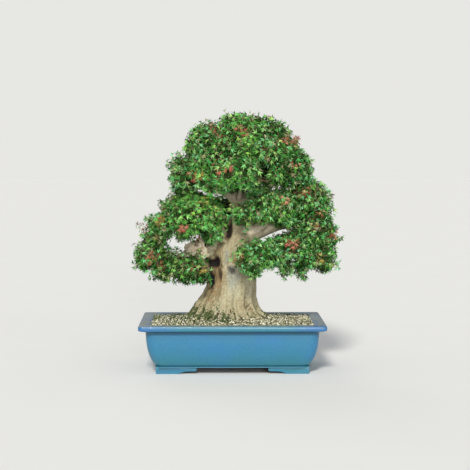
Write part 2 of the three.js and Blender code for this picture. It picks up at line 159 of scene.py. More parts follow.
class Tree:
    """A node tree that is written in code."""

    def __init__(self, tree: NodeTree) -> None:
        """Starts on a tree of Blender's."""
        self.tree = tree

    def node(self, kind: str, inputs: dict | None = None, **settings: Any) -> Knot:
        """Adds a node.

        Args:
            kind: Blender's type name of the node.
            inputs: a value or Val for each input, by name or by place.
            settings: its properties, and "stops" for a ramp's positions and colours.

        Returns:
            The node.
        """
        made = self.tree.nodes.new(kind)
        for name, value in settings.items():
            if name == "stops":
                self._set_stops(made.color_ramp.elements, value)
            else:
                setattr(made, name, value)
        for key, value in (inputs or {}).items():
            socket = made.inputs[key] if isinstance(key, int) else enabled(made.inputs, key)
            if isinstance(value, Val):
                self.tree.links.new(value.socket, socket)
            elif isinstance(value, tuple) and len(value) == 3 and socket.type == "RGBA":
                socket.default_value = (*value, 1.0)
            else:
                socket.default_value = value
        return Knot(self, made)

    @staticmethod
    def _set_stops(elements: Any, stops: Sequence[tuple[float, Colour]]) -> None:
        """Gives a colour ramp its stops.

        Args:
            elements: the ramp's own stops.
            stops: a position and a colour for each.
        """
        while len(elements) < len(stops):
            elements.new(0.5)
        for element, (position, colour) in zip(elements, stops):
            element.position, element.color = position, (*colour, 1.0)


class Net(Tree):
    """A material's nodes, with the textures and mixes that the finishes share."""

    def __init__(self, name: str) -> None:
        """Starts an empty material of that name.

        Args:
            name: the material's name.
        """
        self.material = bpy.data.materials.new(name)
        self.material.use_nodes = True
        super().__init__(self.material.node_tree)
        self.tree.nodes.clear()
        self.place = self.node("ShaderNodeTexCoord")["Object"]

    def attribute(self, name: str, part: str = "Fac") -> Val:
        """One part of a mesh attribute."""
        return self.node("ShaderNodeAttribute", attribute_name=name)[part]

    def parts(self, vector: Val) -> tuple[Val, Val, Val]:
        """The three numbers of a vector."""
        made = self.node("ShaderNodeSeparateXYZ", {"Vector": vector})
        return made["X"], made["Y"], made["Z"]

    def stretch(self, vector: Val, scale: Point) -> Val:
        """A vector scaled by a Mapping node."""
        return self.node("ShaderNodeMapping", {"Vector": vector, "Scale": scale})["Vector"]

    def noise(
        self, vector: Val, scale: float, detail: float = 3.0, rough: float = 0.5, warp: float = 0.0
    ) -> Val:
        """Noise from 0 to 1 with so many waves to the metre."""
        inputs = {"Vector": vector, "Scale": scale, "Detail": detail}
        return self.node("ShaderNodeTexNoise", inputs | {"Roughness": rough, "Distortion": warp})["Fac"]

    def cells(self, vector: Val, scale: float, feature: str = "F1") -> Val:
        """The distance in a Voronoi pattern with so many cells to the metre."""
        inputs = {"Vector": vector, "Scale": scale}
        return self.node("ShaderNodeTexVoronoi", inputs, feature=feature)["Distance"]

    def band(self, value: Term, low: float, high: float) -> Val:
        """A soft step: 0 at low, 1 at high."""
        inputs = {"Value": value, "From Min": low, "From Max": high}
        return self.node("ShaderNodeMapRange", inputs, interpolation_type="SMOOTHSTEP")["Result"]

    def mix(self, share: Term, first: Any, second: Any, blend: str = "MIX") -> Val:
        """Two colours mixed.

        Args:
            share: how much of the second shows.
            first: the colour below.
            second: the colour on top.
            blend: how the second meets the first.

        Returns:
            The mixed colour.
        """
        inputs = {"Factor": share, "A": first, "B": second}
        settings = {"data_type": "RGBA", "blend_type": blend, "clamp_factor": True}
        return self.node("ShaderNodeMix", inputs, **settings)["Result"]

    def bump(self, height: Val, depth: float, strength: float = 1.0, below: Val | None = None) -> Val:
        """A normal with relief.

        Args:
            height: the relief from 0 to 1.
            depth: how many metres 1 stands for.
            strength: how much of it shows.
            below: a normal that it goes on top of.

        Returns:
            The normal.
        """
        inputs: dict = {"Height": height, "Distance": depth, "Strength": strength}
        if below is not None:
            inputs["Normal"] = below
        return self.node("ShaderNodeBump", inputs)["Normal"]

    def surface(
        self, colour: Val, rough: Term, normal: Val | None = None, more: dict | None = None
    ) -> Material:
        """Ends the material in a Principled shader.

        Args:
            colour: its base colour.
            rough: its roughness.
            normal: its relief.
            more: values for its other inputs, by name.

        Returns:
            The material.
        """
        inputs = {"Base Color": colour, "Roughness": rough} | (more or {})
        if normal is not None:
            inputs["Normal"] = normal
        shader = self.node("ShaderNodeBsdfPrincipled", inputs)["BSDF"]
        self.node("ShaderNodeOutputMaterial", {"Surface": shader})
        return self.material


class GeoTree(Tree):
    """Geometry Nodes with named inputs that end in plain faces with a material."""

    def __init__(self, name: str) -> None:
        """Starts a tree that takes a mesh and gives one back.

        Args:
            name: the tree's name.
        """
        group = bpy.data.node_groups.new(name, "GeometryNodeTree")
        super().__init__(group)
        group.interface.new_socket("Geometry", in_out="INPUT", socket_type="NodeSocketGeometry")
        group.interface.new_socket("Geometry", in_out="OUTPUT", socket_type="NodeSocketGeometry")
        self.entry = self.node("NodeGroupInput")
        self.mesh = self.entry["Geometry"]

    def size(self, name: str, value: float) -> Val:
        """A named input for a size, with its usual value.

        Args:
            name: the input's name.
            value: its usual value.

        Returns:
            What the input holds.
        """
        made = self.tree.interface.new_socket(name, in_out="INPUT", socket_type="NodeSocketFloat")
        made.default_value = value
        return self.entry[name]

    def attribute(self, name: str, kind: str = "FLOAT") -> Val:
        """A named attribute of the mesh that comes in."""
        return self.node("GeometryNodeInputNamedAttribute", {"Name": name}, data_type=kind)["Attribute"]

    def chance(self, low: Any, high: Any, seed: int) -> Val:
        """A random number for each point, or three of them where the bounds are vectors."""
        kind = {"data_type": "FLOAT_VECTOR" if isinstance(low, tuple) else "FLOAT"}
        return self.node("FunctionNodeRandomValue", {"Min": low, "Max": high, "Seed": seed}, **kind)["Value"]

    def family(self, members: Collection) -> Val:
        """A collection's objects as instances to pick from."""
        inputs = {"Collection": members, "Separate Children": True, "Reset Children": True}
        return self.node("GeometryNodeCollectionInfo", inputs)["Instances"]

    def named(self, geometry: Val, name: str, value: Val) -> Val:
        """Keeps a number on each instance under a name."""
        inputs = {"Geometry": geometry, "Name": name, "Value": value}
        return self.node("GeometryNodeStoreNamedAttribute", inputs, domain="INSTANCE")["Geometry"]

    def finish(self, geometry: Val, material: Material) -> "GeoTree":
        """Ends the tree: copies become plain faces and take the material.

        Args:
            geometry: what the tree has made.
            material: its finish.

        Returns:
            The tree.
        """
        real = self.node("GeometryNodeRealizeInstances", {"Geometry": geometry})["Geometry"]
        dressed = self.node("GeometryNodeSetMaterial", {"Geometry": real, "Material": material})
        self.node("NodeGroupOutput", {"Geometry": dressed["Geometry"]})
        return self

    def grow(self, name: str, mesh: Mesh, sizes: dict[str, float]) -> Object:
        """Runs the tree on a mesh and keeps the result as a plain object.

        Args:
            name: the new object's name.
            mesh: what goes in.
            sizes: values for the tree's named inputs.

        Returns:
            The object, with no modifier left on it.
        """
        made = new_object(name, mesh)
        modifier = made.modifiers.new("growth", "NODES")
        modifier.node_group = self.tree
        for socket in self.tree.interface.items_tree:
            if socket.name in sizes:
                modifier[socket.identifier] = sizes[socket.name]
        return applied(made)


# Mesh helpers


def dress(mesh: Mesh, material: Material) -> None:
    """Gives a mesh its only material."""
    mesh.materials.clear()
    mesh.materials.append(material)


def new_object(name: str, data: Any, material: Material | None = None) -> Object:
    """Puts a mesh, lamp or camera into the scene as an object at the origin.

    Args:
        name: its name.
        data: the mesh, lamp or camera.
        material: a mesh's only material.

    Returns:
        The object.
    """
    made = bpy.data.objects.new(name, data)
    bpy.context.scene.collection.objects.link(made)
    if material is not None:
        dress(data, material)
    return made


def applied(made: Object) -> Object:
    """Turns an object's modifiers into plain mesh and removes them.

    Args:
        made: the object.

    Returns:
        The same object.
    """
    graph = bpy.context.evaluated_depsgraph_get()
    result = bpy.data.meshes.new_from_object(
        made.evaluated_get(graph), preserve_all_data_layers=True, depsgraph=graph
    )
    made.modifiers.clear()
    made.data = result
    return made


def mesh_of(name: str, points: Any, edges: Any = (), faces: Any = ()) -> Mesh:
    """A mesh from its points, edges and faces.

    Args:
        name: its name.
        points: its points.
        edges: pairs of points.
        faces: rows of points.

    Returns:
        The mesh.
    """
    made = bpy.data.meshes.new(name)
    made.from_pydata([tuple(map(float, p)) for p in points], list(edges), list(faces))
    made.update()
    return made


def baked(made: bmesh.types.BMesh, name: str) -> Mesh:
    """Writes a bmesh out as a new mesh and empties it.

    Args:
        made: the bmesh.
        name: the mesh's name.

    Returns:
        The mesh.
    """
    mesh = bpy.data.meshes.new(name)
    made.to_mesh(mesh)
    made.clear()
    return mesh


def keep(mesh: Mesh, name: str, values: Array) -> None:
    """Stores an array on a mesh's points as an attribute.

    Args:
        mesh: the mesh.
        name: the attribute's name.
        values: a number, a whole number (int32) or three numbers for each point.
    """
    kind, part = "FLOAT", "value"
    if values.ndim == 2:
        kind, part = "FLOAT_VECTOR", "vector"
    elif values.dtype == np.int32:
        kind = "INT"
    data = mesh.attributes.new(name, kind, "POINT").data
    data.foreach_set(part, np.ascontiguousarray(values).ravel())


def read(data: Any, part: str, width: int = 3) -> Array:
    """What a mesh holds for each point, as an array.

    Args:
        data: the points, their normals or an attribute's data.
        part: what is read of each.
        width: how many numbers that is.

    Returns:
        The numbers, a row for each point.
    """
    flat = np.zeros(len(data) * width, np.float32)
    data.foreach_get(part, flat)
    return flat.reshape(-1, width)


def points_of(mesh: Mesh) -> Array:
    """A mesh's points as an array."""
    return read(mesh.vertices, "co").astype(float)


def smooth_under(mesh: Mesh, degrees: float) -> None:
    """Shades a mesh smooth, with sharp edges past an angle."""
    mesh.shade_smooth()
    mesh.set_sharp_from_angle(angle=math.radians(degrees))


def unit(vectors: Array) -> Array:
    """Vectors scaled to a length of one."""
    return vectors / np.maximum(np.linalg.norm(vectors, axis=-1, keepdims=True), TINY)


def curve(start: Any, pull: Any, end: Any, count: int) -> Array:
    """Points along a curve from start to end that bends towards a third point."""
    t = np.linspace(0, 1, count)[:, None]
    return (1 - t) ** 2 * np.array(start) + 2 * t * (1 - t) * np.array(pull) + t**2 * np.array(end)


def fade(values: Array, middle: float, width: float) -> Array:
    """A soft step down: 1 well below the middle, 0 well above it."""
    return 1 / (1 + np.exp((values - middle) / width))


def hill(values: Array, middle: float, width: Any, power: int = 2) -> Array:
    """A soft hill: 1 at the middle, 0 a few widths away."""
    return np.exp(-(((values - middle) / width) ** power))


# large primes that scatter the noise's cells and seeds
CELL_PRIMES = (73856093, 19349663, 83492791)
SEED_PRIME = 2654435761
MIX_PRIME = 1274126177


def lattice_noise(points: Array, size: float, seed: int) -> Array:
    """Smooth noise from -1 to 1.

    Args:
        points: where it is read.
        size: how wide its lumps are.
        seed: which noise it is.

    Returns:
        A number for each point.
    """
    scaled = points / size
    base = np.floor(scaled).astype(np.int64)
    ease = (scaled - base) ** 2 * (3 - 2 * (scaled - base))
    total = np.zeros(len(points))
    for corner in product((0, 1), repeat=3):
        cells = (base + corner) * CELL_PRIMES
        mixed = cells[:, 0] ^ cells[:, 1] ^ cells[:, 2] ^ seed * SEED_PRIME
        mixed = (mixed ^ (mixed >> 13)) * MIX_PRIME & 0x7FFFFFFF
        share = np.prod(np.where(np.array(corner) == 1, ease, 1 - ease), axis=1)
        total += share * ((mixed ^ (mixed >> 16)) % 65536 / 32767.5 - 1)
    return total


def chain_mesh(name: str, chains: Sequence[Arrays]) -> Mesh:
    """Paths as a mesh of edges, with a radius on each point.

    Args:
        name: the mesh's name.
        chains: the points and radii of each path.

    Returns:
        The mesh.
    """
    points = np.concatenate([path for path, _ in chains])
    edges, start = [], 0
    for path, _ in chains:
        edges += [(start + i, start + i + 1) for i in range(len(path) - 1)]
        start += len(path)
    made = mesh_of(name, points, edges)
    keep(made, "thick", np.concatenate([radii for _, radii in chains]))
    return made


def tube_tree(name: str, material: Material, sides: int) -> GeoTree:
    """Geometry Nodes that turn paths of edges into closed round tubes.

    Args:
        name: the tree's name.
        material: the tubes' finish.
        sides: how many sides a tube has.

    Returns:
        The tree.
    """
    tree = GeoTree(name)
    share = tree.size("Thickness", 1.0)
    line = tree.node("GeometryNodeMeshToCurve", {"Mesh": tree.mesh})["Curve"]
    ring = tree.node("GeometryNodeCurvePrimitiveCircle", {"Resolution": sides, "Radius": 1.0})["Curve"]
    inputs = {"Curve": line, "Profile Curve": ring, "Fill Caps": True}
    inputs["Scale"] = share * tree.attribute("thick")
    tubes = tree.node("GeometryNodeCurveToMesh", inputs)["Mesh"]
    return tree.finish(tubes, material)


def own(piece: Object, replaced: Sequence[str] = ()) -> None:
    """Hands a finished piece to the frame and reports it.

    Args:
        piece: the piece.
        replaced: the CAD nodes that it stands for.
    """
    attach(piece, "root")
    if replaced:
        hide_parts(*replaced)
    piece.data.calc_loop_triangles()
    log.info("%-24s %7d triangles", piece.name, len(piece.data.loop_triangles))


# Finishes


@dataclass(frozen=True)
class Glaze:
    """Blue stoneware glaze, darker in the corners and under the rim (pooled glaze and painted shade) and
    paler on the edges (glaze break and painted highlights).
    """

    blue: Colour = (0.024, 0.168, 0.343)
    teal: Colour = (0.024, 0.173, 0.300)
    green: Colour = (0.025, 0.184, 0.236)
    violet: Colour = (0.036, 0.125, 0.365)
    # sky: a paler blue for runs and mottles, and for the painted reflection and highlights on the edges
    sky: Colour = (0.055, 0.205, 0.320)
    # the dark of pooled glaze and of painted shade under the rim and in the grooves
    pool: Colour = (0.008, 0.042, 0.062)
    dust: Colour = (0.340, 0.335, 0.230)
    deep: Colour = (0.024, 0.105, 0.220)

    def material(self) -> Material:
        """Makes the glaze. It reads edge, where it breaks paler and painted highlights lie, the mark of
        pooled glaze and painted shade, where it is darker, and dusty.

        Returns:
            The material.
        """
        net = Net("glaze")
        cloud = net.noise(net.stretch(net.place, (1.0, 1.0, 1.8)), 7.0, 3.0, 0.55, 0.6)
        mottle = net.noise(net.place, 160.0, 4.0, 0.62)
        run = net.noise(net.stretch(net.place, (60.0, 60.0, 9.0)), 1.0, 2.0)
        colour = net.mix(net.band(cloud, 0.38, 0.64), self.blue, self.teal)
        across, _, height = net.parts(net.place)
        low = 1.0 - net.band(height, 0.030, 0.100)
        colour = net.mix(low * (0.35 + net.band(cloud, 0.30, 0.70) * 0.65), colour, self.green)
        rim = net.band(height, 0.150, 0.156)
        end = net.band(abs(across) + cloud * 0.16, 0.24, 0.40)
        colour = net.mix(rim * (1.0 - end) * 0.75, colour, self.green)
        colour = net.mix(rim * end * 0.6, colour, self.violet)
        colour = net.mix(net.band(run, 0.52, 0.80) * 0.10, colour, self.sky)
        colour = net.mix(net.band(mottle, 0.42, 0.70) * 0.40, colour, self.deep)
        colour = net.mix(net.band(mottle * -1.0, -0.40, -0.26) * 0.25, colour, self.sky)
        # pooled glaze and painted shade: darker under the rim, in the groove over the bead, in the seam and
        # on the lip
        colour = net.mix(net.attribute("pool").clamped() * 0.85, colour, self.pool)
        # paler where the glaze breaks thin on edges, and painted highlights on the bead, the foot's top
        # edge, its toe and corners and a little on the lip
        edge = net.attribute("edge")
        colour = net.mix((edge * (0.35 + mottle)).clamped(), colour, self.sky)
        dusty = net.attribute("dusty") * net.band(net.noise(net.place, 55.0, 4.0, 0.6), 0.30, 0.62)
        colour = net.mix((dusty * 0.85).clamped(), colour, self.dust)
        normal = net.bump(net.noise(net.place, 34.0, 3.0), 0.0012, 0.5)
        normal = net.bump(mottle, 0.0003, 0.5, normal)
        rough = 0.30 + 0.12 * cloud + dusty * 0.4
        return net.surface(colour, rough, normal, {"Coat Weight": 0.15})


@dataclass(frozen=True)
class Bark:
    """Old maple bark: tan plates with orange, grey and cream between fine upright cracks."""

    tan: Colour = (0.375, 0.340, 0.210)
    umber: Colour = (0.200, 0.145, 0.070)
    cream: Colour = (0.495, 0.475, 0.350)
    grey: Colour = (0.275, 0.295, 0.250)
    crack: Colour = (0.075, 0.052, 0.032)
    rosy: Colour = (0.630, 0.525, 0.385)
    green: Colour = (0.055, 0.080, 0.022)
    rust: Colour = (0.290, 0.175, 0.070)
    bone: Colour = (0.740, 0.680, 0.560)
    # edge, slate and black: painted shade in hollows and cracks, brown at its rim, dark grey on grey wood as
    # under the arch, black within
    edge: Colour = (0.110, 0.072, 0.036)
    slate: Colour = (0.078, 0.080, 0.066)
    black: Colour = (0.012, 0.009, 0.008)

    def material(self) -> Material:
        """Makes the bark. It reads grain, which follows the wood, and the marks tone and mark, which hold
        the bark's own tones, moss, painted shade in hollows and under the arch, and painted light on wood
        that the crown shades.

        Returns:
            The material.
        """
        net = Net("bark")
        grain = net.attribute("grain", "Vector")
        orange, pale, grey_and_arch_shadow = net.parts(net.attribute("tone", "Vector"))
        hollow_shade, mossy, cut = net.parts(net.attribute("mark", "Vector"))
        streak = net.noise(net.stretch(grain, (1.0, 1.0, 0.14)), 150.0, 4.0, 0.6)
        fibre = net.noise(net.stretch(grain, (1.0, 1.0, 0.11)), 380.0, 3.0, 0.6)
        patch = net.noise(net.stretch(grain, (1.0, 1.0, 0.45)), 24.0, 3.0, 0.55, 0.8)
        mottle = net.noise(net.stretch(grain, (1.0, 1.0, 0.75)), 170.0, 4.0, 0.7)
        blotch = net.noise(net.stretch(grain, (1.0, 1.0, 0.7)), 62.0, 4.0, 0.65)
        flake = net.cells(net.stretch(grain, (1.0, 1.0, 0.30)), 95.0, "DISTANCE_TO_EDGE")
        speck = net.noise(net.place, 420.0, 2.0)
        colour = net.mix(net.band(patch + orange * 0.5, 0.50, 0.85) * 0.65, self.tan, self.umber)
        # pale wood, and painted light where the crown shades the stump, the limbs, the upper trunk and the
        # trunk's right side
        colour = net.mix(net.band(patch * -1.0 + pale * 0.4, -0.44, -0.12) * 0.7, colour, self.cream)
        # grey bark, and the painted shadow under the arch
        colour = net.mix(net.band(grey_and_arch_shadow + streak * 0.5, 0.40, 1.05) * 0.85, colour, self.grey)
        colour = net.mix(net.band(mottle + orange * 0.20, 0.50, 0.66) * 0.62, colour, self.umber)
        colour = net.mix(net.band(mottle * -1.0, -0.47, -0.33) * 0.55, colour, self.cream)
        rusty = net.band(blotch + orange * 0.12, 0.56, 0.64) * (0.15 + orange * 0.6).clamped()
        colour = net.mix(rusty, colour, self.rust)
        colour = net.mix(net.band(fibre + streak * 0.4, 0.70, 0.95) * 0.45, colour, self.umber)
        colour = net.mix(net.band(speck, 0.62, 0.80) * 0.4, colour, self.crack)
        line = 1.0 - net.band(flake, 0.0, 0.07)
        colour = net.mix((line * net.band(streak, 0.46, 0.66) * 0.25).clamped(), colour, self.crack)
        cut = cut.clamped()
        # pinkish cut wood, and painted light on the shaded limbs, stump and upper trunk
        colour = net.mix(cut, colour, self.rosy)
        colour = net.mix(net.band(blotch, 0.53, 0.60) * cut * 0.70, colour, self.umber)
        colour = net.mix(net.band(blotch * -1.0, -0.47, -0.41) * cut * 0.80, colour, self.bone)
        colour = net.mix(net.band(mossy + mottle * 0.5, 0.45, 0.85) * 0.85, colour, self.green)
        # painted shade in hollows, cracks and under the arch: brown at the rim, dark grey on grey wood,
        # black within
        ragged_shade = hollow_shade + (fibre - 0.5) * 0.5 * net.band(hollow_shade, 0.02, 0.2)
        shade_colour = net.mix(net.band(grey_and_arch_shadow, 0.30, 0.80), self.edge, self.slate)
        colour = net.mix(net.band(ragged_shade, 0.10, 0.42) * 0.9, colour, shade_colour)
        colour = net.mix(net.band(ragged_shade, 0.38, 0.78), colour, self.black)
        relief = net.band(flake, 0.0, 0.12) * 0.15 + streak * 0.8 + patch * 0.2 + mottle * 0.4
        normal = net.bump(relief, 0.0022, 0.7)
        normal = net.bump(fibre + speck * 0.5, 0.0008, 0.7, normal)
        return net.surface(colour, 0.72 + 0.2 * streak, normal, {"Specular IOR Level": 0.25})


@dataclass(frozen=True)
class TwigSkin:
    """The skin of branchlets and shoots, greyish brown with pale pores."""

    brown: Colour = (0.165, 0.105, 0.060)
    green: Colour = (0.230, 0.185, 0.090)
    pore: Colour = (0.34, 0.27, 0.18)

    def material(self) -> Material:
        """Makes the twig skin. It reads thick, the twig's radius.

        Returns:
            The material.
        """
        net = Net("twig_skin")
        mottle = net.noise(net.place, 260.0, 3.0, 0.6)
        young = 1.0 - net.band(net.attribute("thick"), 0.0007, 0.0016)
        colour = net.mix(young, self.brown, self.green)
        colour = net.mix(net.band(mottle, 0.50, 0.75) * 0.5, colour, self.pore)
        normal = net.bump(mottle, 0.0005, 0.6)
        return net.surface(colour, 0.65 + 0.2 * mottle, normal)


@dataclass(frozen=True)
class LeafSkin:
    """Maple leaves from deep blue-green to yellow-green, with the new ones red."""

    # deep: the darkest leaves, which with the inner leaves' darkening also paint the shade inside the crown
    deep: Colour = (0.003, 0.034, 0.002)
    fresh: Colour = (0.066, 0.316, 0.046)
    # sunny: the palest leaves, pale enough to stand for the highlights of glossy leaves (painted highlight)
    sunny: Colour = (0.290, 0.570, 0.195)
    vivid: Colour = (0.235, 0.560, 0.110)
    emerald: Colour = (0.62, 0.95, 1.25)
    lime: Colour = (1.30, 1.06, 0.84)
    husk: Colour = (0.330, 0.290, 0.170)
    gold: Colour = (0.430, 0.280, 0.080)
    red: Colour = (0.420, 0.108, 0.080)
    orange: Colour = (0.480, 0.230, 0.130)
    stalk: Colour = (0.380, 0.310, 0.160)
    vein: Colour = (0.30, 0.42, 0.16)

    def material(self) -> Material:
        """Makes the leaf skin. It reads blade, the place on the leaf, and each leaf's own numbers.

        Returns:
            The material.
        """
        net = Net("leaf_skin")
        across, along, on_blade = net.parts(net.attribute("blade", "Vector"))
        bright, cool, dry = net.parts(net.attribute("hue", "Vector"))
        young, tint = net.attribute("young"), net.attribute("tint")
        cloud = net.noise(net.place, 130.0, 2.0)
        # the first part of hue is each pad's lightness less the painted shade of the inner leaves; the
        # highest levels take the vivid or sunny tone, the sunny one a painted highlight
        level = bright + 1.10 * tint + 0.25 * cloud - 0.57
        colour = net.mix(net.band(level, 0.06, 0.56), self.deep, self.fresh)
        lit = net.mix(net.band(cool, 0.02, 0.16), self.vivid, self.sunny)
        colour = net.mix(net.band(level, 0.42, 0.95), colour, lit)
        roll = (tint * 9.0).math("FRACT", tint * 9.0)
        colour = net.mix(net.band(roll + 0.6 * cool, 0.64, 0.76) * 0.9, colour, self.emerald, "MULTIPLY")
        colour = net.mix(1.0 - net.band(roll - 0.8 * dry, 0.12, 0.24), colour, self.lime, "MULTIPLY")
        spent = (tint * 31.0).math("FRACT", tint * 31.0)
        colour = net.mix(net.band(spent + 0.25 * dry, 0.945, 0.965) * 0.8, colour, self.husk)
        flush = net.mix(net.band(tint, 0.35, 0.85), self.red, self.orange)
        colour = net.mix((young * (0.75 + 0.5 * cloud)).clamped(), colour, flush)
        colour = net.mix((young * -1.0).clamped(), colour, self.gold)
        side = abs(abs(across) - along * 0.66)
        rib = 1.0 - net.band(abs(across).least(side + 0.012), 0.012, 0.045)
        colour = net.mix(rib * 0.25, colour, self.vein)
        colour = net.mix(1.0 - on_blade, colour, self.stalk)
        normal = net.bump(1.0 - rib + 0.3 * net.noise(net.place, 900.0, 2.0), 0.0006, 0.6)
        gloss = net.band(level, 0.25, 0.80) * 0.5
        sheen = {"Specular IOR Level": 0.03, "Coat Weight": gloss, "Coat Roughness": 0.32}
        return net.surface(colour, 0.40 + 0.2 * tint, normal, sheen)


@dataclass(frozen=True)
class Grit:
    """Washed bonsai grit: cream, tan, rust, grey and near black grains."""

    fleck: Colour = (0.26, 0.20, 0.13)
    stops: Sequence[tuple[float, Colour]] = (
        (0.0, (0.030, 0.034, 0.016)),
        (0.19, (0.080, 0.078, 0.036)),
        (0.33, (0.31, 0.28, 0.15)),
        (0.47, (0.53, 0.50, 0.33)),
        (0.66, (0.74, 0.71, 0.53)),
        (0.84, (0.92, 0.90, 0.78)),
        (0.97, (0.20, 0.21, 0.13)),
    )

    def material(self) -> Material:
        """Makes the grains' stone. It reads tint, each grain's own number.

        Returns:
            The material.
        """
        net = Net("grit")
        grain = net.noise(net.place, 700.0, 3.0)
        tint = net.attribute("tint")
        colour = net.node("ShaderNodeValToRGB", {"Fac": tint}, stops=self.stops)["Color"]
        colour = net.mix(net.band(grain, 0.40, 0.72) * 0.35, colour, self.fleck)
        normal = net.bump(grain, 0.0006, 0.7)
        return net.surface(colour, 0.78 + 0.15 * grain, normal)


@dataclass(frozen=True)
class Earth:
    """The damp fines between the grains, dark also as painted shade in the gaps."""

    # damp fines, dark enough to stand for the shade between the grains (painted shade)
    dark: Colour = (0.026, 0.026, 0.012)
    brown: Colour = (0.075, 0.066, 0.034)
    crumb: Colour = (0.20, 0.17, 0.10)

    def material(self) -> Material:
        """Makes the earth.

        Returns:
            The material.
        """
        net = Net("earth")
        cell = net.cells(net.place, 240.0)
        cloud = net.noise(net.place, 60.0, 4.0, 0.6)
        colour = net.mix(net.band(cloud, 0.35, 0.65), self.dark, self.brown)
        colour = net.mix(net.band(cell, 0.02, 0.35), self.crumb, colour)
        normal = net.bump(cell, 0.0025, 0.8)
        return net.surface(colour, 0.9 - 0.1 * cloud, normal)


@dataclass(frozen=True)
class Moss:
    """Cushion moss, dark in its depth and yellow-green on its tips."""

    depth: Colour = (0.024, 0.044, 0.012)
    tips: Colour = (0.105, 0.150, 0.042)

    def material(self) -> Material:
        """Makes the moss. It reads tint, each tuft's own number.

        Returns:
            The material.
        """
        net = Net("moss")
        fuzz = net.noise(net.place, 900.0, 3.0, 0.7)
        tint = net.attribute("tint")
        colour = net.mix(net.band(tint + fuzz, 0.5, 1.4), self.depth, self.tips)
        normal = net.bump(fuzz, 0.0008, 0.9)
        return net.surface(colour, 0.85 + 0.1 * fuzz, normal)


@dataclass(frozen=True)
class Hazy:
    """A plain finish of two colours that a fine haze mixes."""

    name: str
    clean: Colour
    dull: Colour
    waves: float
    share: float
    low: float
    depth: float
    relief: float
    smoothest: float
    metal: float = 0.0

    def material(self) -> Material:
        """Makes the finish.

        Returns:
            The material.
        """
        net = Net(self.name)
        haze = net.noise(net.place, self.waves, 3.0)
        colour = net.mix(net.band(haze, self.low, 0.7) * self.share, self.clean, self.dull)
        normal = net.bump(haze, self.depth, self.relief)
        return net.surface(colour, self.smoothest + 0.25 * haze, normal, {"Metallic": self.metal})


# dull black plastic of the mesh over the drain holes, and soft aluminium wire that water has dulled
SCREEN_PLASTIC = Hazy(
    "screen_plastic", (0.016, 0.017, 0.016), (0.055, 0.052, 0.045), 300.0, 0.5, 0.40, 0.0003, 0.5, 0.50
)
CLIP_WIRE = Hazy(
    "clip_wire", (0.62, 0.62, 0.63), (0.38, 0.37, 0.35), 220.0, 1.0, 0.35, 0.0002, 0.4, 0.30, 1.0
)


@dataclass(frozen=True)
class StudioFloor:
    """A pale seamless floor."""

    paint: Colour = (0.86, 0.855, 0.835)
    paler: Colour = (0.88, 0.875, 0.855)

    def material(self) -> Material:
        """Makes the floor's paint.

        Returns:
            The material.
        """
        net = Net("studio_floor")
        haze = net.noise(net.place, 3.0, 2.0)
        colour = net.mix(haze, self.paint, self.paler)
        return net.surface(colour, 1.0, None, {"Specular IOR Level": 0.0})


# Studio


@dataclass(frozen=True)
class Lamp:
    """A soft, far lamp. Its width is in degrees."""

    name: str
    place: Point
    width: float
    strength: float
    colour: Colour = (1.0, 1.0, 1.0)


@dataclass
class Studio:
    """The floor, the lamps, the sky and the camera at the photo's place."""

    eye: Point = (-0.051, -5.113, 0.764)
    yaw: float = 0.69
    pitch: float = 3.25
    lens: float = 110.0
    sensor: float = 36.0
    farthest: float = 200.0
    floor_radius: float = 40.0
    target: Point = (0.0, 0.0, 0.45)
    sky_light: Colour = (0.335, 0.352, 0.370)
    sky_seen: Colour = (0.800, 0.797, 0.775)
    lamps: Sequence[Lamp] = (
        Lamp("key", (-0.7, -5.0, 3.8), 10.0, 2.65, (1.0, 0.970, 0.91)),
        Lamp("front", (0.5, -5.0, 1.15), 14.0, 1.05, (1.0, 0.970, 0.92)),
        Lamp("fill", (3.2, -5.0, 1.1), 40.0, 0.45, (0.98, 0.98, 1.0)),
        Lamp("back", (-1.5, 5.0, 4.2), 30.0, 0.32, (0.98, 0.98, 1.0)),
    )

    def build(self) -> None:
        """Sets up everything that isn't part of the object."""
        self._camera()
        for lamp in self.lamps:
            self._lamp(lamp)
        world = bpy.data.worlds.new("studio_sky")
        world.use_nodes = True
        sky = Tree(world.node_tree)
        sky.tree.nodes.clear()
        seen = sky.node("ShaderNodeLightPath")["Is Camera Ray"]
        inputs = {"Factor": seen, "A": self.sky_light, "B": self.sky_seen}
        colour = sky.node("ShaderNodeMix", inputs, data_type="RGBA")["Result"]
        shade = sky.node("ShaderNodeBackground", {"Color": colour})["Background"]
        sky.node("ShaderNodeOutputWorld", {"Surface": shade})
        bpy.context.scene.world = world
        bpy.context.scene.view_settings.view_transform = "Standard"
        disc = bmesh.new()
        bmesh.ops.create_circle(disc, cap_ends=True, segments=96, radius=self.floor_radius)
        new_object("floor", baked(disc, "floor"), StudioFloor().material())

    def _camera(self) -> None:
        """Makes the camera."""
        data = bpy.data.cameras.new("camera")
        data.lens, data.sensor_width, data.clip_end = self.lens, self.sensor, self.farthest
        camera = new_object("camera", data)
        camera.location = self.eye
        camera.rotation_euler = (math.radians(90 - self.pitch), 0.0, math.radians(-self.yaw))
        bpy.context.scene.camera = camera

    def _lamp(self, lamp: Lamp) -> None:
        """Hangs one lamp and points it at the tree.

        Args:
            lamp: the lamp.
        """
        data = bpy.data.lights.new(lamp.name, "SUN")
        data.angle, data.energy, data.color = math.radians(lamp.width), lamp.strength, lamp.colour
        made = new_object(lamp.name, data)
        made.location = lamp.place
        made.rotation_euler = (Vector(self.target) - made.location).to_track_quat("-Z", "Y").to_euler()


# Pot


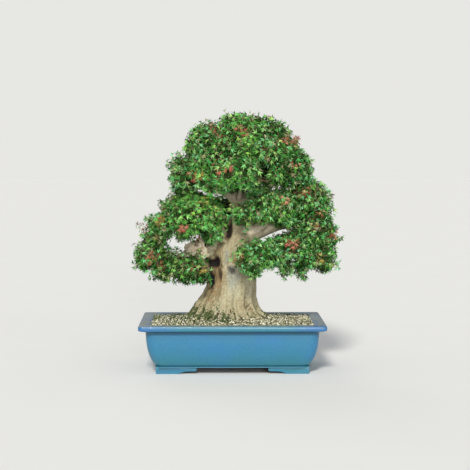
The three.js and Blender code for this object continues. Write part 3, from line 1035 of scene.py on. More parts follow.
@dataclass
class Pot:
    """The glazed pot: a rounded rectangle with a wide rim, a bead and four bracket feet."""

    length: float = 0.650
    depth: float = 0.450
    foot_height: float = 0.021
    foot_reach: float = 0.142
    foot_thick: float = 0.024
    base_inset: float = 0.0588
    corner_steps: int = 10
    curve_steps: int = 6
    drain_x: float = 0.125
    drain_radius: float = 0.024
    wire_holes: tuple[float, float, float] = (0.205, 0.090, 0.003)
    drill_middle: float = 0.030
    drill_length: float = 0.060
    foot_bevel: float = 0.0016
    foot_edge: float = 0.0012
    lip_depth: float = 0.008
    rim_edge: float = 0.004
    bead_inset: float = 0.0560
    ledge_inset: float = 0.0615
    # where the glaze is darker (pooled glaze and painted shade) or paler (glaze break and painted
    # highlights): a height and how far the mark spreads from it
    lip: Pair = (0.1715, 0.0025)
    throat: Pair = (0.1505, 0.0045)
    under_throat: Pair = (0.1410, 0.0100)
    groove: Pair = (0.0278, 0.0018)
    bead: Pair = (0.0240, 0.0020)
    seam: Pair = (0.0212, 0.0009)
    ledge: Pair = (0.0190, 0.0012)
    toe: Pair = (0.0, 0.0030)
    # height, inset from the rim's outline and corner radius in millimetres, up the outside, down the inside
    profile: Sequence[Point] = (
        (21, 60, 22), (21.6, 57, 23), (23, 54.8, 24), (25, 54.8, 24), (26.2, 57, 23), (27.2, 59.4, 22),
        (28.2, 58.4, 23), (31, 55.2, 25), (38, 50.2, 27), (46, 45, 29), (56, 40, 30), (66, 36, 30),
        (82, 31.4, 30), (100, 28, 30), (118, 26, 30), (136, 24.6, 30), (147, 24, 30), (150, 22, 30),
        (151.6, 17, 26), (152.6, 8, 21), (154, 3, 18), (156, 0.8, 15), (159, 0, 14), (165, 0, 14),
        (169, 0.4, 14), (171.6, 1.8, 13), (173, 4.5, 12), (173.2, 12, 14), (172.8, 30, 18),
        (172.4, 38, 21), (171, 40.4, 22), (168, 41, 22), (100, 41, 22), (60, 62, 22), (40, 80, 20),
        (35, 86, 18),
    )

    def build(self, glaze: Material) -> Object:
        """Makes the pot in place of its CAD node.

        Args:
            glaze: the pot's finish.

        Returns:
            The pot.
        """
        pot = new_object("pot_body", self._shell(), glaze)
        feet = new_object("feet", self._feet())
        drills = new_object("drills", self._drills())
        for other, operation in ((feet, "UNION"), (drills, "DIFFERENCE")):
            cut = pot.modifiers.new("joint", "BOOLEAN")
            cut.object, cut.operation, cut.solver = other, operation, "EXACT"
        applied(pot)
        for helper in (feet, drills):
            bpy.data.objects.remove(helper)
        self._finish(pot.data)
        own(pot, ["pot"])
        return pot

    def _ring(self, z: float, inset: float, radius: float) -> list[Point]:
        """One level of the pot: a rounded rectangle.

        Args:
            z: its height.
            inset: how far it lies inside the rim's outline.
            radius: its corners' radius.

        Returns:
            Its points.
        """
        half_x, half_y = self.length / 2 - inset, self.depth / 2 - inset
        ring = []
        for quarter, (sx, sy) in enumerate(((1, 1), (-1, 1), (-1, -1), (1, -1))):
            for step in range(self.corner_steps + 1):
                angle = (quarter + step / self.corner_steps) * math.pi / 2
                x = sx * (half_x - radius) + radius * math.cos(angle)
                ring.append((x, sy * (half_y - radius) + radius * math.sin(angle), z))
        return ring

    def _shell(self) -> Mesh:
        """The body and rim as one closed wall.

        Returns:
            The mesh.
        """
        rings = [self._ring(z / MM, inset / MM, radius / MM) for z, inset, radius in self.profile]
        count = len(rings[0])
        faces = [list(range(count))[::-1]]
        for level in range(len(rings) - 1):
            low, high = level * count, (level + 1) * count
            faces += [
                (low + i, low + (i + 1) % count, high + (i + 1) % count, high + i) for i in range(count)
            ]
        faces.append([(len(rings) - 1) * count + i for i in range(count)])
        return mesh_of("pot_shell", [p for ring in rings for p in ring], (), faces)

    def _leg(self) -> list[Pair]:
        """The front view of a foot's leg, from its corner along the pot: an ogee bracket.

        Returns:
            The outline's points.
        """
        reach, top = self.foot_reach, self.foot_height + 0.004
        outline = [(0.0, 0.0015), (0.0015, 0.0), (0.064, 0.0)]
        for bend in (
            ((0.064, 0.0), (0.080, 0.0), (0.090, 0.005)),
            ((0.090, 0.005), (0.098, 0.009), (reach - 0.014, 0.009)),
            ((reach - 0.014, 0.009), (reach, 0.009), (reach, 0.015)),
        ):
            outline += [tuple(point) for point in curve(*bend, self.curve_steps + 1)[1:]]
        return outline + [(reach - 0.002, top), (0.0, top)]

    def _feet(self) -> Mesh:
        """Four feet, each two mitred legs round a corner of the base.

        Returns:
            The mesh.
        """
        corner_x, corner_y = self.length / 2 - self.base_inset, self.depth / 2 - self.base_inset
        outline = self._leg()
        made = bmesh.new()
        for turn in (False, True):
            front = [made.verts.new((x, 0.0, z)) for x, z in outline]
            mitred = [(max(x, self.foot_thick) if x < 0.01 else x, z) for x, z in outline]
            back = [made.verts.new((x, self.foot_thick, z)) for x, z in mitred]
            faces = [front, back[::-1]]
            faces += [
                (front[i], back[i], back[(i + 1) % len(outline)], front[(i + 1) % len(outline)])
                for i in range(len(outline))
            ]
            for face in faces:
                made.faces.new(face)
            if turn:
                swap = Matrix(((0, 1, 0, 0), (1, 0, 0, 0), (0, 0, 1, 0), (0, 0, 0, 1)))
                bmesh.ops.transform(made, matrix=swap, verts=front + back)
        bmesh.ops.remove_doubles(made, verts=made.verts, dist=WELD)
        inner = [f for f in made.faces if all(abs(v.co.x - v.co.y) < WELD for v in f.verts)]
        bmesh.ops.delete(made, geom=inner, context="FACES")
        bmesh.ops.recalc_face_normals(made, faces=made.faces)
        sharp = [e for e in made.edges if len(e.link_faces) == 2 and e.calc_face_angle(0) > 0.6]
        bmesh.ops.bevel(made, geom=sharp, offset=self.foot_bevel, segments=2, profile=0.5, affect="EDGES")
        foot = baked(made, "foot")
        feet = bmesh.new()
        for sx, sy in ((1, 1), (-1, 1), (1, -1), (-1, -1)):
            part = foot.copy()
            part.transform(Matrix.Translation((-corner_x, -corner_y, 0)))
            part.transform(Matrix.Diagonal((sx, sy, 1, 1)))
            if sx * sy < 0:
                part.flip_normals()
            feet.from_mesh(part)
        return baked(feet, "feet")

    def _drills(self) -> Mesh:
        """The round bars that cut the drain holes and wire holes.

        Returns:
            The mesh.
        """
        made = bmesh.new()
        wire_x, wire_y, wire_radius = self.wire_holes
        bores = [(side * self.drain_x, 0.0, self.drain_radius, 40) for side in (-1, 1)]
        bores += [(sx * wire_x, sy * wire_y, wire_radius, 12) for sx in (-1, 1) for sy in (-1, 1)]
        for x, y, radius, sides in bores:
            spot = Matrix.Translation((x, y, self.drill_middle))
            sizes = {"radius1": radius, "radius2": radius, "depth": self.drill_length}
            bmesh.ops.create_cone(made, cap_ends=True, segments=sides, matrix=spot, **sizes)
        return baked(made, "drills")

    def _finish(self, mesh: Mesh) -> None:
        """Marks where the glaze is darker (pooled glaze and painted shade under the rim, in the grooves and
        on the lip), where it is paler (glaze break and painted highlights on the edges) and where grit lies
        on the rim.

        Args:
            mesh: the pot's mesh.
        """
        x, y, z = points_of(mesh).T
        inset = np.minimum(self.length / 2 - abs(x), self.depth / 2 - abs(y))
        lip = hill(z, *self.lip) * (inset < self.lip_depth)
        # painted shadow under the rim's overhang, fading down the wall
        throat = hill(z, *self.throat) * (inset > self.lip_depth) + 0.20 * hill(z, *self.under_throat)
        bead = hill(z, *self.bead) * (inset < self.bead_inset)
        seam = hill(z, *self.seam) * (inset > self.bead_inset)
        ledge = hill(z, *self.ledge) * (inset < self.ledge_inset)
        foot_end = self.length / 2 - self.base_inset
        corner = abs(x) > foot_end - self.foot_edge
        corner |= abs(abs(x) - (foot_end - self.foot_reach)) < self.foot_edge
        toe = np.maximum(hill(z, *self.toe), 0.9 * (corner & (z < self.foot_height)))
        # pooled glaze and painted shade: in the groove over the bead, under the rim, in the seam and on the
        # lip
        keep(mesh, "pool", np.clip(hill(z, *self.groove) + throat + 0.8 * seam + 0.45 * lip, 0, 1))
        # glaze break and painted highlights on the lip, the foot's top edge, the bead, the toe and the
        # foot's corners
        keep(mesh, "edge", np.clip(0.05 * lip + 0.9 * ledge + 0.9 * bead + 0.8 * toe, 0, 1))
        keep(mesh, "dusty", ((z > self.lip[0]) & (inset > self.rim_edge)).astype(float))
        smooth_under(mesh, 38)


# Wood


@dataclass(frozen=True)
class Limb:
    """A limb's path in millimetres and its radius where it starts and ends."""

    path: Sequence[Point]
    start: float
    end: float


TRUNK = np.array((
    (118, -20, 0, 112, 96), (165, -20, 0, 134, 112), (186, -20, -2, 136, 114), (214, -20, -2, 126, 105),
    (250, -16, -2, 102, 87), (285, -6, -2, 89, 77), (335, 3, -3, 84, 70), (410, 0, 0, 83, 67),
    (445, 5, 2, 78, 63), (475, 19, 4, 64, 55), (505, 32, 4, 51, 46), (545, 34, 2, 41, 37),
    (610, 22, -1, 29, 27), (680, 25, -4, 20, 19), (760, 31, 0, 12, 11), (850, 28, 0, 4, 4),
)) / MM  # height, middle x and y, half width x and y


def trunk_at(heights: Array, *columns: int) -> list[Array]:
    """Columns of the trunk's table, read at some heights."""
    return [np.interp(heights, TRUNK[:, 0], TRUNK[:, column]) for column in columns]


LIMBS = {
    "low_left": Limb(((-20, 0, 420), (-85, -14, 432), (-150, -24, 408), (-216, -20, 382)), 42, 13),
    "mid_left": Limb(((10, 0, 470), (-42, -8, 508), (-90, -26, 526), (-130, -34, 540)), 29, 10),
    "far_left": Limb(((-30, -4, 500), (-100, 10, 512), (-170, 6, 508), (-240, -8, 508)), 20, 8),
    "mid_right": Limb(((20, -5, 462), (88, -22, 494), (125, -44, 530), (140, -56, 565)), 32, 10),
    "far_right": Limb(((80, -12, 480), (160, -2, 506), (235, 8, 524), (292, 4, 556)), 26, 9),
    "low_right": Limb(((20, 0, 400), (105, 8, 428), (170, -4, 436), (232, -12, 426)), 29, 11),
    "front_right": Limb(((40, -20, 415), (70, -84, 432), (94, -144, 424)), 18, 8),
    "upper_left": Limb(((24, 0, 580), (-30, -10, 628), (-110, -18, 662)), 18, 7),
    "upper_right": Limb(((26, 0, 575), (90, -6, 630), (185, -12, 668)), 19, 7),
    "upper_front": Limb(((22, -5, 590), (28, -64, 632), (32, -130, 672)), 15, 6),
    "upper_back": Limb(((22, 5, 600), (28, 75, 650), (30, 136, 688)), 15, 6),
    "back_left": Limb(((16, 5, 495), (-50, 85, 532), (-105, 146, 556)), 18, 7),
    "back_right": Limb(((34, 5, 505), (90, 85, 522), (150, 142, 545)), 18, 7),
    "back_low": Limb(((0, 20, 415), (-10, 100, 432), (-15, 158, 434)), 19, 8),
}


class Effect(Enum):
    """What a stamp does to the bark's colour."""

    # painted shade: the dark inside hollows, slots, cracks, creases and rib troughs, and under the arch
    HOLLOW = 0
    ORANGE = 1
    # pale wood, and painted light on wood that the crown shades
    PALE = 2
    # grey bark, and the painted shadow under the healed arch
    GREY = 3
    # pinkish cut wood, and painted light on the shaded limbs, stump and upper trunk
    ROSY = 4


class Marks(dict):
    """How strongly each effect shows at each point of the wood."""

    def more(self, effect: Effect, share: Array) -> None:
        """Keeps the stronger of what an effect has and a new share."""
        self[effect] = np.maximum(self[effect], share)


@dataclass(frozen=True)
class Stamp:
    """A soft mark on the wood's front in millimetres: its middle, reach, lift off the skin and lean."""

    x: float
    z: float
    wide: float
    tall: float
    lift: float
    effect: Effect
    lean: float = 0.0
    strength: float = 1.0

    def share(self, points: Array) -> Array:
        """How strongly each point takes part, from 0 to 1.

        Args:
            points: the points in metres.

        Returns:
            A number for each point.
        """
        across = points[:, 0] * MM - self.x
        along = points[:, 2] * MM - self.z
        cos, sin = math.cos(math.radians(self.lean)), math.sin(math.radians(self.lean))
        reach = ((across * cos + along * sin) / self.wide) ** 2
        reach += ((along * cos - across * sin) / self.tall) ** 2
        return np.exp(-(reach**1.6))


HOLLOW, ORANGE, PALE, GREY, ROSY = Effect
# each row: x, z, wide, tall, lift, effect, lean and strength. The darkening rows paint shade into the hollow
# under the stump, into slots, cracks and creases, and into the crevice left of the upper trunk. GREY gives
# grey bark and the painted shadow under the arch. PALE and ROSY give pale and pinkish wood, and also paint
# light onto the stump, the limbs, the upper trunk and the trunk's right side, where the crown's shade falls
STAMPS = [Stamp(*row) for row in (
    (-68, 375, 25, 19, -20, HOLLOW, 14), (-78, 330, 9.5, 48, -14, HOLLOW, -4),
    (-90, 384, 13, 9, -8, HOLLOW, 20, 0.9), (-44, 340, 8.0, 25, -6, HOLLOW, 6, 0.62),
    (-34, 372, 5, 14, -3, HOLLOW, 30, 0.35), (-15, 498, 13, 42, -12, HOLLOW, -6, 1.0),
    (-42, 446, 15, 8, -4, HOLLOW, 20, 0.45), (70, 224, 3.0, 22, -5, HOLLOW, -10, 0.36),
    (79, 212, 2.5, 20, -4, HOLLOW, -16, 0.35), (-4, 213, 3, 9, -5, HOLLOW, 0, 0.6),
    (-58, 200, 7, 6, -5, HOLLOW, 30, 0.7), (-133, 446, 2.5, 6, -5, HOLLOW, 0, 0.6),
    (-94, 446, 4, 15, -6, HOLLOW, 0, 0.8), (-82, 436, 3, 12, -3, HOLLOW, -20, 0.4),
    (2, 290, 28, 60, -2.5, PALE, 0, 0.5), (-19, 398, 8, 27, 0.5, GREY, 0, 1.0),
    (2, 332, 26, 54, 0.0, GREY, 0, 0.85), (-40, 372, 11, 20, 1.0, PALE, 0, 0.4),
    (-66, 290, 28, 60, 1.5, ORANGE, -38, 0.75), (-56, 340, 22, 38, 0.0, HOLLOW, -10, 0.26),
    (-52, 350, 26, 40, 0.0, ORANGE, 0, 0.9), (66, 300, 22, 70, 0.0, PALE, 0, 0.5),
    (-50, 420, 22, 34, 0.0, ORANGE, 0, 0.55), (20, 470, 28, 34, 0.0, ORANGE, 20, 0.30),
    (60, 235, 22, 30, 0.0, ORANGE, 0, 0.25), (10, 245, 60, 30, 0.0, PALE, 0, 0.25),
    (-124, 430, 36, 26, 0.0, PALE, 0, 1.5), (-103, 399, 20, 15, 1.0, ROSY, 12, 0.85),
    (-128, 434, 38, 24, 0.0, ROSY, 0, 1.0), (26, 618, 34, 44, 0.0, PALE, 0, 2.5),
    (24, 608, 26, 36, 0.0, ROSY, 0, 0.75), (24, 606, 26, 40, 0.0, ORANGE, 0, 0.30),
    (112, 508, 60, 30, 0.0, PALE, 0, 1.6), (94, 498, 60, 36, 0.0, ROSY, 20, 0.62),
    (60, 490, 40, 40, 0.0, ORANGE, 20, 0.40),
)]

# the swelling below the stump: its path and its radius there
SHOULDER = np.array(
    ((-76, -14, 280, 18), (-78, -22, 330, 18), (-80, -26, 372, 18), (-96, -30, 410, 20))
) / MM

# the middle and the half sizes in millimetres of the broken stump on the left
STUMP_MIDDLE = (-121, -40, 424)
STUMP_REACH = (40, 20, 30)

# the grain's width on the trunk and the limbs in metres, how far apart the limbs' grains lie, and how near
# the trunk's middle its own grain holds against a limb's
TRUNK_GRAIN = 0.085
LIMB_GRAIN = 0.03
LIMB_SHIFT = 0.37
TRUNK_HOLD = 0.6

# lumps of the callus under the stump: the middle in millimetres and the radius in metres
STUMP_LIP = (((-104, -50, 398), 0.013), ((-93, -50, 405), 0.013), ((-114, -46, 406), 0.012))


@dataclass
class Wood:
    """The trunk, surface roots and limbs in one piece, carved finer than the CAD solid."""

    voxel: float = 0.0025
    most_triangles: int = 104000
    seed: int = 5
    thin_roots: int = 24
    root_points: int = 12
    root_reaches: Pair = (0.022, 0.060)
    stump_lumps: int = 46
    splinters: int = 26
    smooth_rounds: int = 7
    carved_from: float = 0.155
    # the ribs' depth on the trunk at some heights, and on the limbs
    rib_heights: Sequence[float] = (0.19, 0.26, 0.42, 0.6)
    rib_depths: Sequence[float] = (0.0042, 0.0019, 0.0018, 0.0012)
    limb_rib_depth: float = 0.0011
    # how far the foot of the trunk is drawn in at some heights, on its left and its right
    waist_heights: Sequence[float] = (0.177, 0.184, 0.204, 0.216, 0.251, 0.285, 0.320)
    waist_left: Sequence[float] = (0.0, 0.027, 0.028, 0.024, 0.017, 0.012, 0.002)
    waist_right: Sequence[float] = (0.0, 0.022, 0.022, 0.019, 0.010, 0.001, 0.0)
    # the healed arch on the front: its middle, its top, how far the painted shadow under it reaches and its
    # brow
    arch_x: float = -0.002
    arch_top: float = 0.364
    arch_foot: float = 0.368
    arch_reach: float = 0.080
    brow_middle: float = 0.350
    brow_radius: float = 0.020
    brow_width: float = 0.0040
    rng: Rng = field(init=False)

    def build(self, bark: Material) -> Object:
        """Makes the wood in place of its CAD node.

        Args:
            bark: the wood's finish.

        Returns:
            The wood.
        """
        made = new_object("wood", self._blank(bark))
        remesh = made.modifiers.new("grow", "REMESH")
        remesh.mode, remesh.voxel_size = "VOXEL", self.voxel
        relax = made.modifiers.new("relax", "SMOOTH")
        relax.factor, relax.iterations = 0.5, self.smooth_rounds
        applied(made)
        self._carve(made.data)
        dress(made.data, bark)
        made.data.calc_loop_triangles()
        thin = made.modifiers.new("thin", "DECIMATE")
        thin.ratio = min(1.0, self.most_triangles / len(made.data.loop_triangles))
        applied(made)
        made.data.shade_smooth()
        own(made, ["trunk_and_branches"])
        return made

    def _blank(self, bark: Material) -> Mesh:
        """The CAD wood, merged, with the old stump and the thin roots added as closed shells.

        Args:
            bark: the wood's finish.

        Returns:
            The mesh.
        """
        blank = bmesh.new()
        blank.from_mesh(frame["nodes"]["trunk_and_branches"].data)
        bmesh.ops.remove_doubles(blank, verts=blank.verts, dist=WELD)
        self.rng = np.random.default_rng(self.seed)
        for middle, radius in self._stump_lumps():
            spot = Matrix.Translation(middle)
            bmesh.ops.create_icosphere(blank, subdivisions=2, radius=radius, matrix=spot)
        paths = self._root_paths() + [(SHOULDER[:, :3], SHOULDER[:, 3])]
        roots = tube_tree("root_tubes", bark, 9).grow("roots", chain_mesh("roots", paths), {})
        splinters = tube_tree("splinter_tubes", bark, 6)
        spikes = splinters.grow("spikes", chain_mesh("spikes", self._splinters()), {})
        for helper in (roots, spikes):
            blank.from_mesh(helper.data)
            bpy.data.objects.remove(helper)
        return baked(blank, "wood_blank")

    def _stump_lumps(self) -> list[tuple[Array, float]]:
        """Lumps of the broken stump on the left: where each is and its radius.

        Returns:
            The places and radii.
        """
        lumps = [(np.array(STUMP_MIDDLE) / MM, 0.022)]
        lumps += [(np.array(spot) / MM, radius) for spot, radius in STUMP_LIP]
        for _ in range(self.stump_lumps):
            off = self.rng.uniform(-1, 1, 3)
            spot = (np.array(STUMP_MIDDLE) + off / max(np.linalg.norm(off), 1.0) * STUMP_REACH) / MM
            lumps.append((spot, self.rng.uniform(0.006, 0.012)))
        return lumps

    def _root_paths(self) -> list[Arrays]:
        """Thin roots that leave the flare, run down to the grit and dip under it.

        Returns:
            Their points and radii.
        """
        chains = []
        for k in range(self.thin_roots):
            angle = 2 * math.pi * (k + self.rng.uniform(-0.3, 0.3)) / self.thin_roots
            reach = self.rng.uniform(*self.root_reaches)
            steps = np.linspace(0, 1, self.root_points)
            way = angle + 0.10 * np.sin(steps * 5 + self.rng.uniform(0, 6)) * steps
            height = np.interp(steps, (0, 0.40, 0.75, 1), (0.244, 0.204, 0.191, 0.172))
            half_x, half_y = trunk_at(height, 3, 4)
            out = np.interp(steps, (0, 0.45, 1), (-0.006, -0.001, reach))
            radial = 1 / np.hypot(np.cos(way) / half_x, np.sin(way) / half_y) + out
            path = np.stack((-0.020 + np.cos(way) * radial, np.sin(way) * radial - 0.002, height), 1)
            chains.append((path, np.interp(steps, (0, 0.5, 1), (0.0095, 0.0080, 0.0045))))
        return chains

    def _splinters(self) -> list[Arrays]:
        """Weathered splinters that stand out of the old stump on the left.

        Returns:
            Their points and radii.
        """
        chains = []
        for _ in range(self.splinters):
            foot = self.rng.uniform((-0.156, -0.062, 0.412), (-0.088, -0.030, 0.444))
            lean = np.append(self.rng.uniform((-0.7, -0.4), (0.25, 0.1)), 1.0)
            length = self.rng.uniform(0.016, 0.036)
            path = foot + unit(lean) * np.array([[-0.02], [0.0], [length * 0.6], [length]])
            chains.append((path, np.array((0.006, 0.0055, 0.0038, 0.0014))))
        return chains

    @staticmethod
    def _grain(points: Array) -> Arrays:
        """Coordinates that follow the wood: across its section and along its length.

        Args:
            points: the wood's points.

        Returns:
            The coordinates, and whether the nearest stem is the trunk.
        """
        middle = np.stack(trunk_at(points[:, 2], 1, 2, 3, 4), 1)
        across = (points[:, :2] - middle[:, :2]) / middle[:, 2:]
        coords = np.column_stack((across * TRUNK_GRAIN, points[:, 2]))
        best = np.maximum(np.hypot(across[:, 0], across[:, 1]), TRUNK_HOLD)
        trunk = np.ones(len(points), bool)
        for index, limb in enumerate(LIMBS.values()):
            path = np.array(limb.path) / MM
            radii = np.linspace(limb.start, limb.end, len(path)) / MM
            run = 0.0
            for a, b, start, end in zip(path[:-1], path[1:], radii[:-1], radii[1:]):
                axis = b - a
                share = np.clip((points - a) @ axis / (axis @ axis), 0, 1)
                radius = start + (end - start) * share
                off = points - (a + share[:, None] * axis)
                score = np.linalg.norm(off, axis=1) / radius
                better = score < best
                level = np.column_stack((off[:, 1], off[:, 2] - off[:, 0] * 0.3))
                level *= LIMB_GRAIN / radius[:, None]
                along = run + share * np.linalg.norm(axis) + index * LIMB_SHIFT
                coords[better] = np.column_stack((level, along))[better]
                trunk[better], best[better] = False, score[better]
                run += np.linalg.norm(axis)
        return coords, trunk

    def _settle(self, points: Array) -> Array:
        """How far the foot of the trunk is drawn in above the grit, along x and y.

        Args:
            points: the wood's points.

        Returns:
            Two distances for each point.
        """
        left = np.interp(points[:, 2], self.waist_heights, self.waist_left)
        right = np.interp(points[:, 2], self.waist_heights, self.waist_right)
        off = (points[:, :2] - TRUNK[2, 1:3]) / TRUNK[2, 3:5]
        outside = np.clip(np.hypot(off[:, 0], off[:, 1]) * 1.6 - 0.2, 0, 1)
        pull = np.where(off[:, 0] > 0, right, left) * outside
        return unit(off) * pull[:, None] * (1.0, 0.6)

    @staticmethod
    def _stirred(points: Array, size: float, seed: int) -> Array:
        """Three noises for each point, with this seed and the next two."""
        return np.stack([lattice_noise(points, size, seed + k) for k in range(3)], 1)

    def _arch(self, x: Array, z: Array, front: Array) -> Arrays:
        """The healed arch on the trunk's front.

        Args:
            x: where the points lie across, a little warped.
            z: how high they lie, a little warped.
            front: how far they face the front.

        Returns:
            How strongly the shadow below the arch, carved in and painted grey and dark, and the arch's brow
            show at each point.
        """
        # the shadow under the arch's lip: carved in here and painted grey and dark by the marks, it fades
        # downwards
        below = np.clip((self.arch_foot - z) / self.arch_reach, 0, 1)
        arch_shadow = hill(x, self.arch_x, 0.0150 + 0.016 * below, 4) * (1 - below) ** 1.3 * front
        arch_shadow *= fade(z, self.arch_top, 0.0020)
        reach = np.hypot(x - self.arch_x, (z - self.brow_middle) * 0.9)
        brow = hill(reach, self.brow_radius, self.brow_width) * front
        return arch_shadow, brow * fade(-z, -0.354, 0.004)

    @staticmethod
    def _mossy(points: Array, near_soil: Array) -> Array:
        """Where moss grows on the bark.

        Args:
            points: the wood's points.
            near_soil: how near to the soil each lies, from 0 to 1.

        Returns:
            How thick the moss is at each point, from 0 to 1.
        """
        x, y, z = points.T
        patches = 0.66 + 1.3 * lattice_noise(points * (1, 1, 0.6), 0.015, 10)
        mossy = near_soil * (0.30 + 0.70 * fade(x, -0.060, 0.022)) * patches
        clump = hill(x, -0.022, 0.021, 4) * (y < -0.05) * fade(z, 0.206, 0.004)
        mossy = np.maximum(mossy, clump * (0.55 + 0.5 * lattice_noise(points, 0.009, 20)))
        return np.clip(mossy, 0, 1)

    def _carve(self, mesh: Mesh) -> None:
        """Carves ridges, hollows, the healed arch and the old stump, and keeps the marks for the bark, among
        them painted shade in hollows, cracks and under the arch, and painted light on shaded wood.

        Args:
            mesh: the wood's mesh.
        """
        points, normals = points_of(mesh), read(mesh.vertex_normals, "vector").astype(float)
        coords, trunk = self._grain(points)
        x, y, z = points.T
        ribs = coords * (1.0, 1.0, 0.17)
        depth = np.where(trunk, np.interp(z, self.rib_heights, self.rib_depths), self.limb_rib_depth)
        rib = lattice_noise(ribs, 0.021, 3) + 0.55 * lattice_noise(ribs, 0.009, 4)
        lift = depth * rib + 0.0008 * lattice_noise(points, 0.006, 5)
        off = (points * MM - STUMP_MIDDLE) / (np.array(STUMP_REACH) * 1.3)
        stump = hill(np.linalg.norm(off, axis=1), 0.0, 1.0, 4)
        crag = lattice_noise(points, 0.010, 6) + 0.7 * lattice_noise(points, 0.005, 13)
        lift += stump * 0.0085 * crag
        front = fade(y, -0.010, 0.010)
        warped = points + 0.005 * self._stirred(points, 0.022, 7)
        warped += 0.0032 * self._stirred(points * (1, 1, 0.5), 0.007, 17)
        marks = Marks({effect: np.zeros(len(points)) for effect in Effect})
        for stamp in STAMPS:
            share = stamp.share(warped) * front
            lift += share * stamp.lift / MM
            marks.more(stamp.effect, share * stamp.strength)
        arch_shadow, brow = self._arch(warped[:, 0] * 0.7 + x * 0.3, warped[:, 2] * 0.7 + z * 0.3, front)
        lift += brow * 0.0030 - arch_shadow * 0.009
        marks.more(ROSY, brow * 0.55)
        # painted shadow under the arch, darkest at its top
        marks.more(HOLLOW, 0.90 * arch_shadow**2 - 0.05)
        # painted shade in the stump's crags
        marks.more(HOLLOW, stump * np.clip(-0.40 - crag, 0, 0.5) * 1.3)
        # painted shade in the deepest troughs between the ribs
        marks.more(HOLLOW, np.clip(-0.85 - rib, 0, 0.4) * 0.6)
        # the arch's painted shadow is grey
        marks.more(GREY, arch_shadow * 1.2)
        near_soil = fade(z, 0.214, 0.010)
        # pale roots near the soil, and pale limbs, which also paints light onto limbs that the crown shades
        marks.more(PALE, np.where(trunk, 0.4 * near_soil, 1.0))
        mossy = self._mossy(points, near_soil)
        points += normals * np.where(z > self.carved_from, lift, 0.0)[:, None]
        points[:, :2] -= self._settle(points)
        mesh.vertices.foreach_set("co", points.astype(np.float32).ravel())
        mesh.update()
        tone = np.column_stack((marks[ORANGE], marks[PALE], marks[GREY]))
        mark = np.column_stack((marks[HOLLOW], mossy, marks[ROSY]))
        keep(mesh, "grain", coords)
        keep(mesh, "tone", tone)
        keep(mesh, "mark", mark)


# Crown


@dataclass(frozen=True)
class Pad:
    """A leafy pad in millimetres: its middle, half sizes, half height below, and its leaves' hue."""

    name: str
    middle: Point
    half: Point
    below: float
    bright: float = 0.42
    cool: float = 0.15
    dry: float = 0.08
    square: float = 2.5

    def _halves(self, heights: Array) -> Array:
        """The half sizes in metres that hold at points above or below the middle.

        Args:
            heights: how high the points lie over the middle.

        Returns:
            Three half sizes for each point.
        """
        half = np.tile(np.array(self.half) / MM, (len(heights), 1))
        half[heights < 0, 2] = self.below / MM
        return half

    def out(self, points: Array) -> Array:
        """How far out points (in metres) lie: 0 in the middle, 1 on the outline."""
        off = points - np.array(self.middle) / MM
        return (np.abs(off / self._halves(off[:, 2])) ** self.square).sum(1) ** (1 / self.square)

    def skin(self, ways: Array) -> tuple[Array, Array]:
        """The outline's points in some directions, and its normals there.

        Args:
            ways: the directions.

        Returns:
            The points and the normals.
        """
        half = self._halves(ways[:, 2])
        flat = ways / ((np.abs(ways) ** self.square).sum(1) ** (1 / self.square))[:, None]
        normals = np.sign(flat) * np.abs(flat) ** (self.square - 1) / half
        return np.array(self.middle) / MM + flat * half, unit(normals)


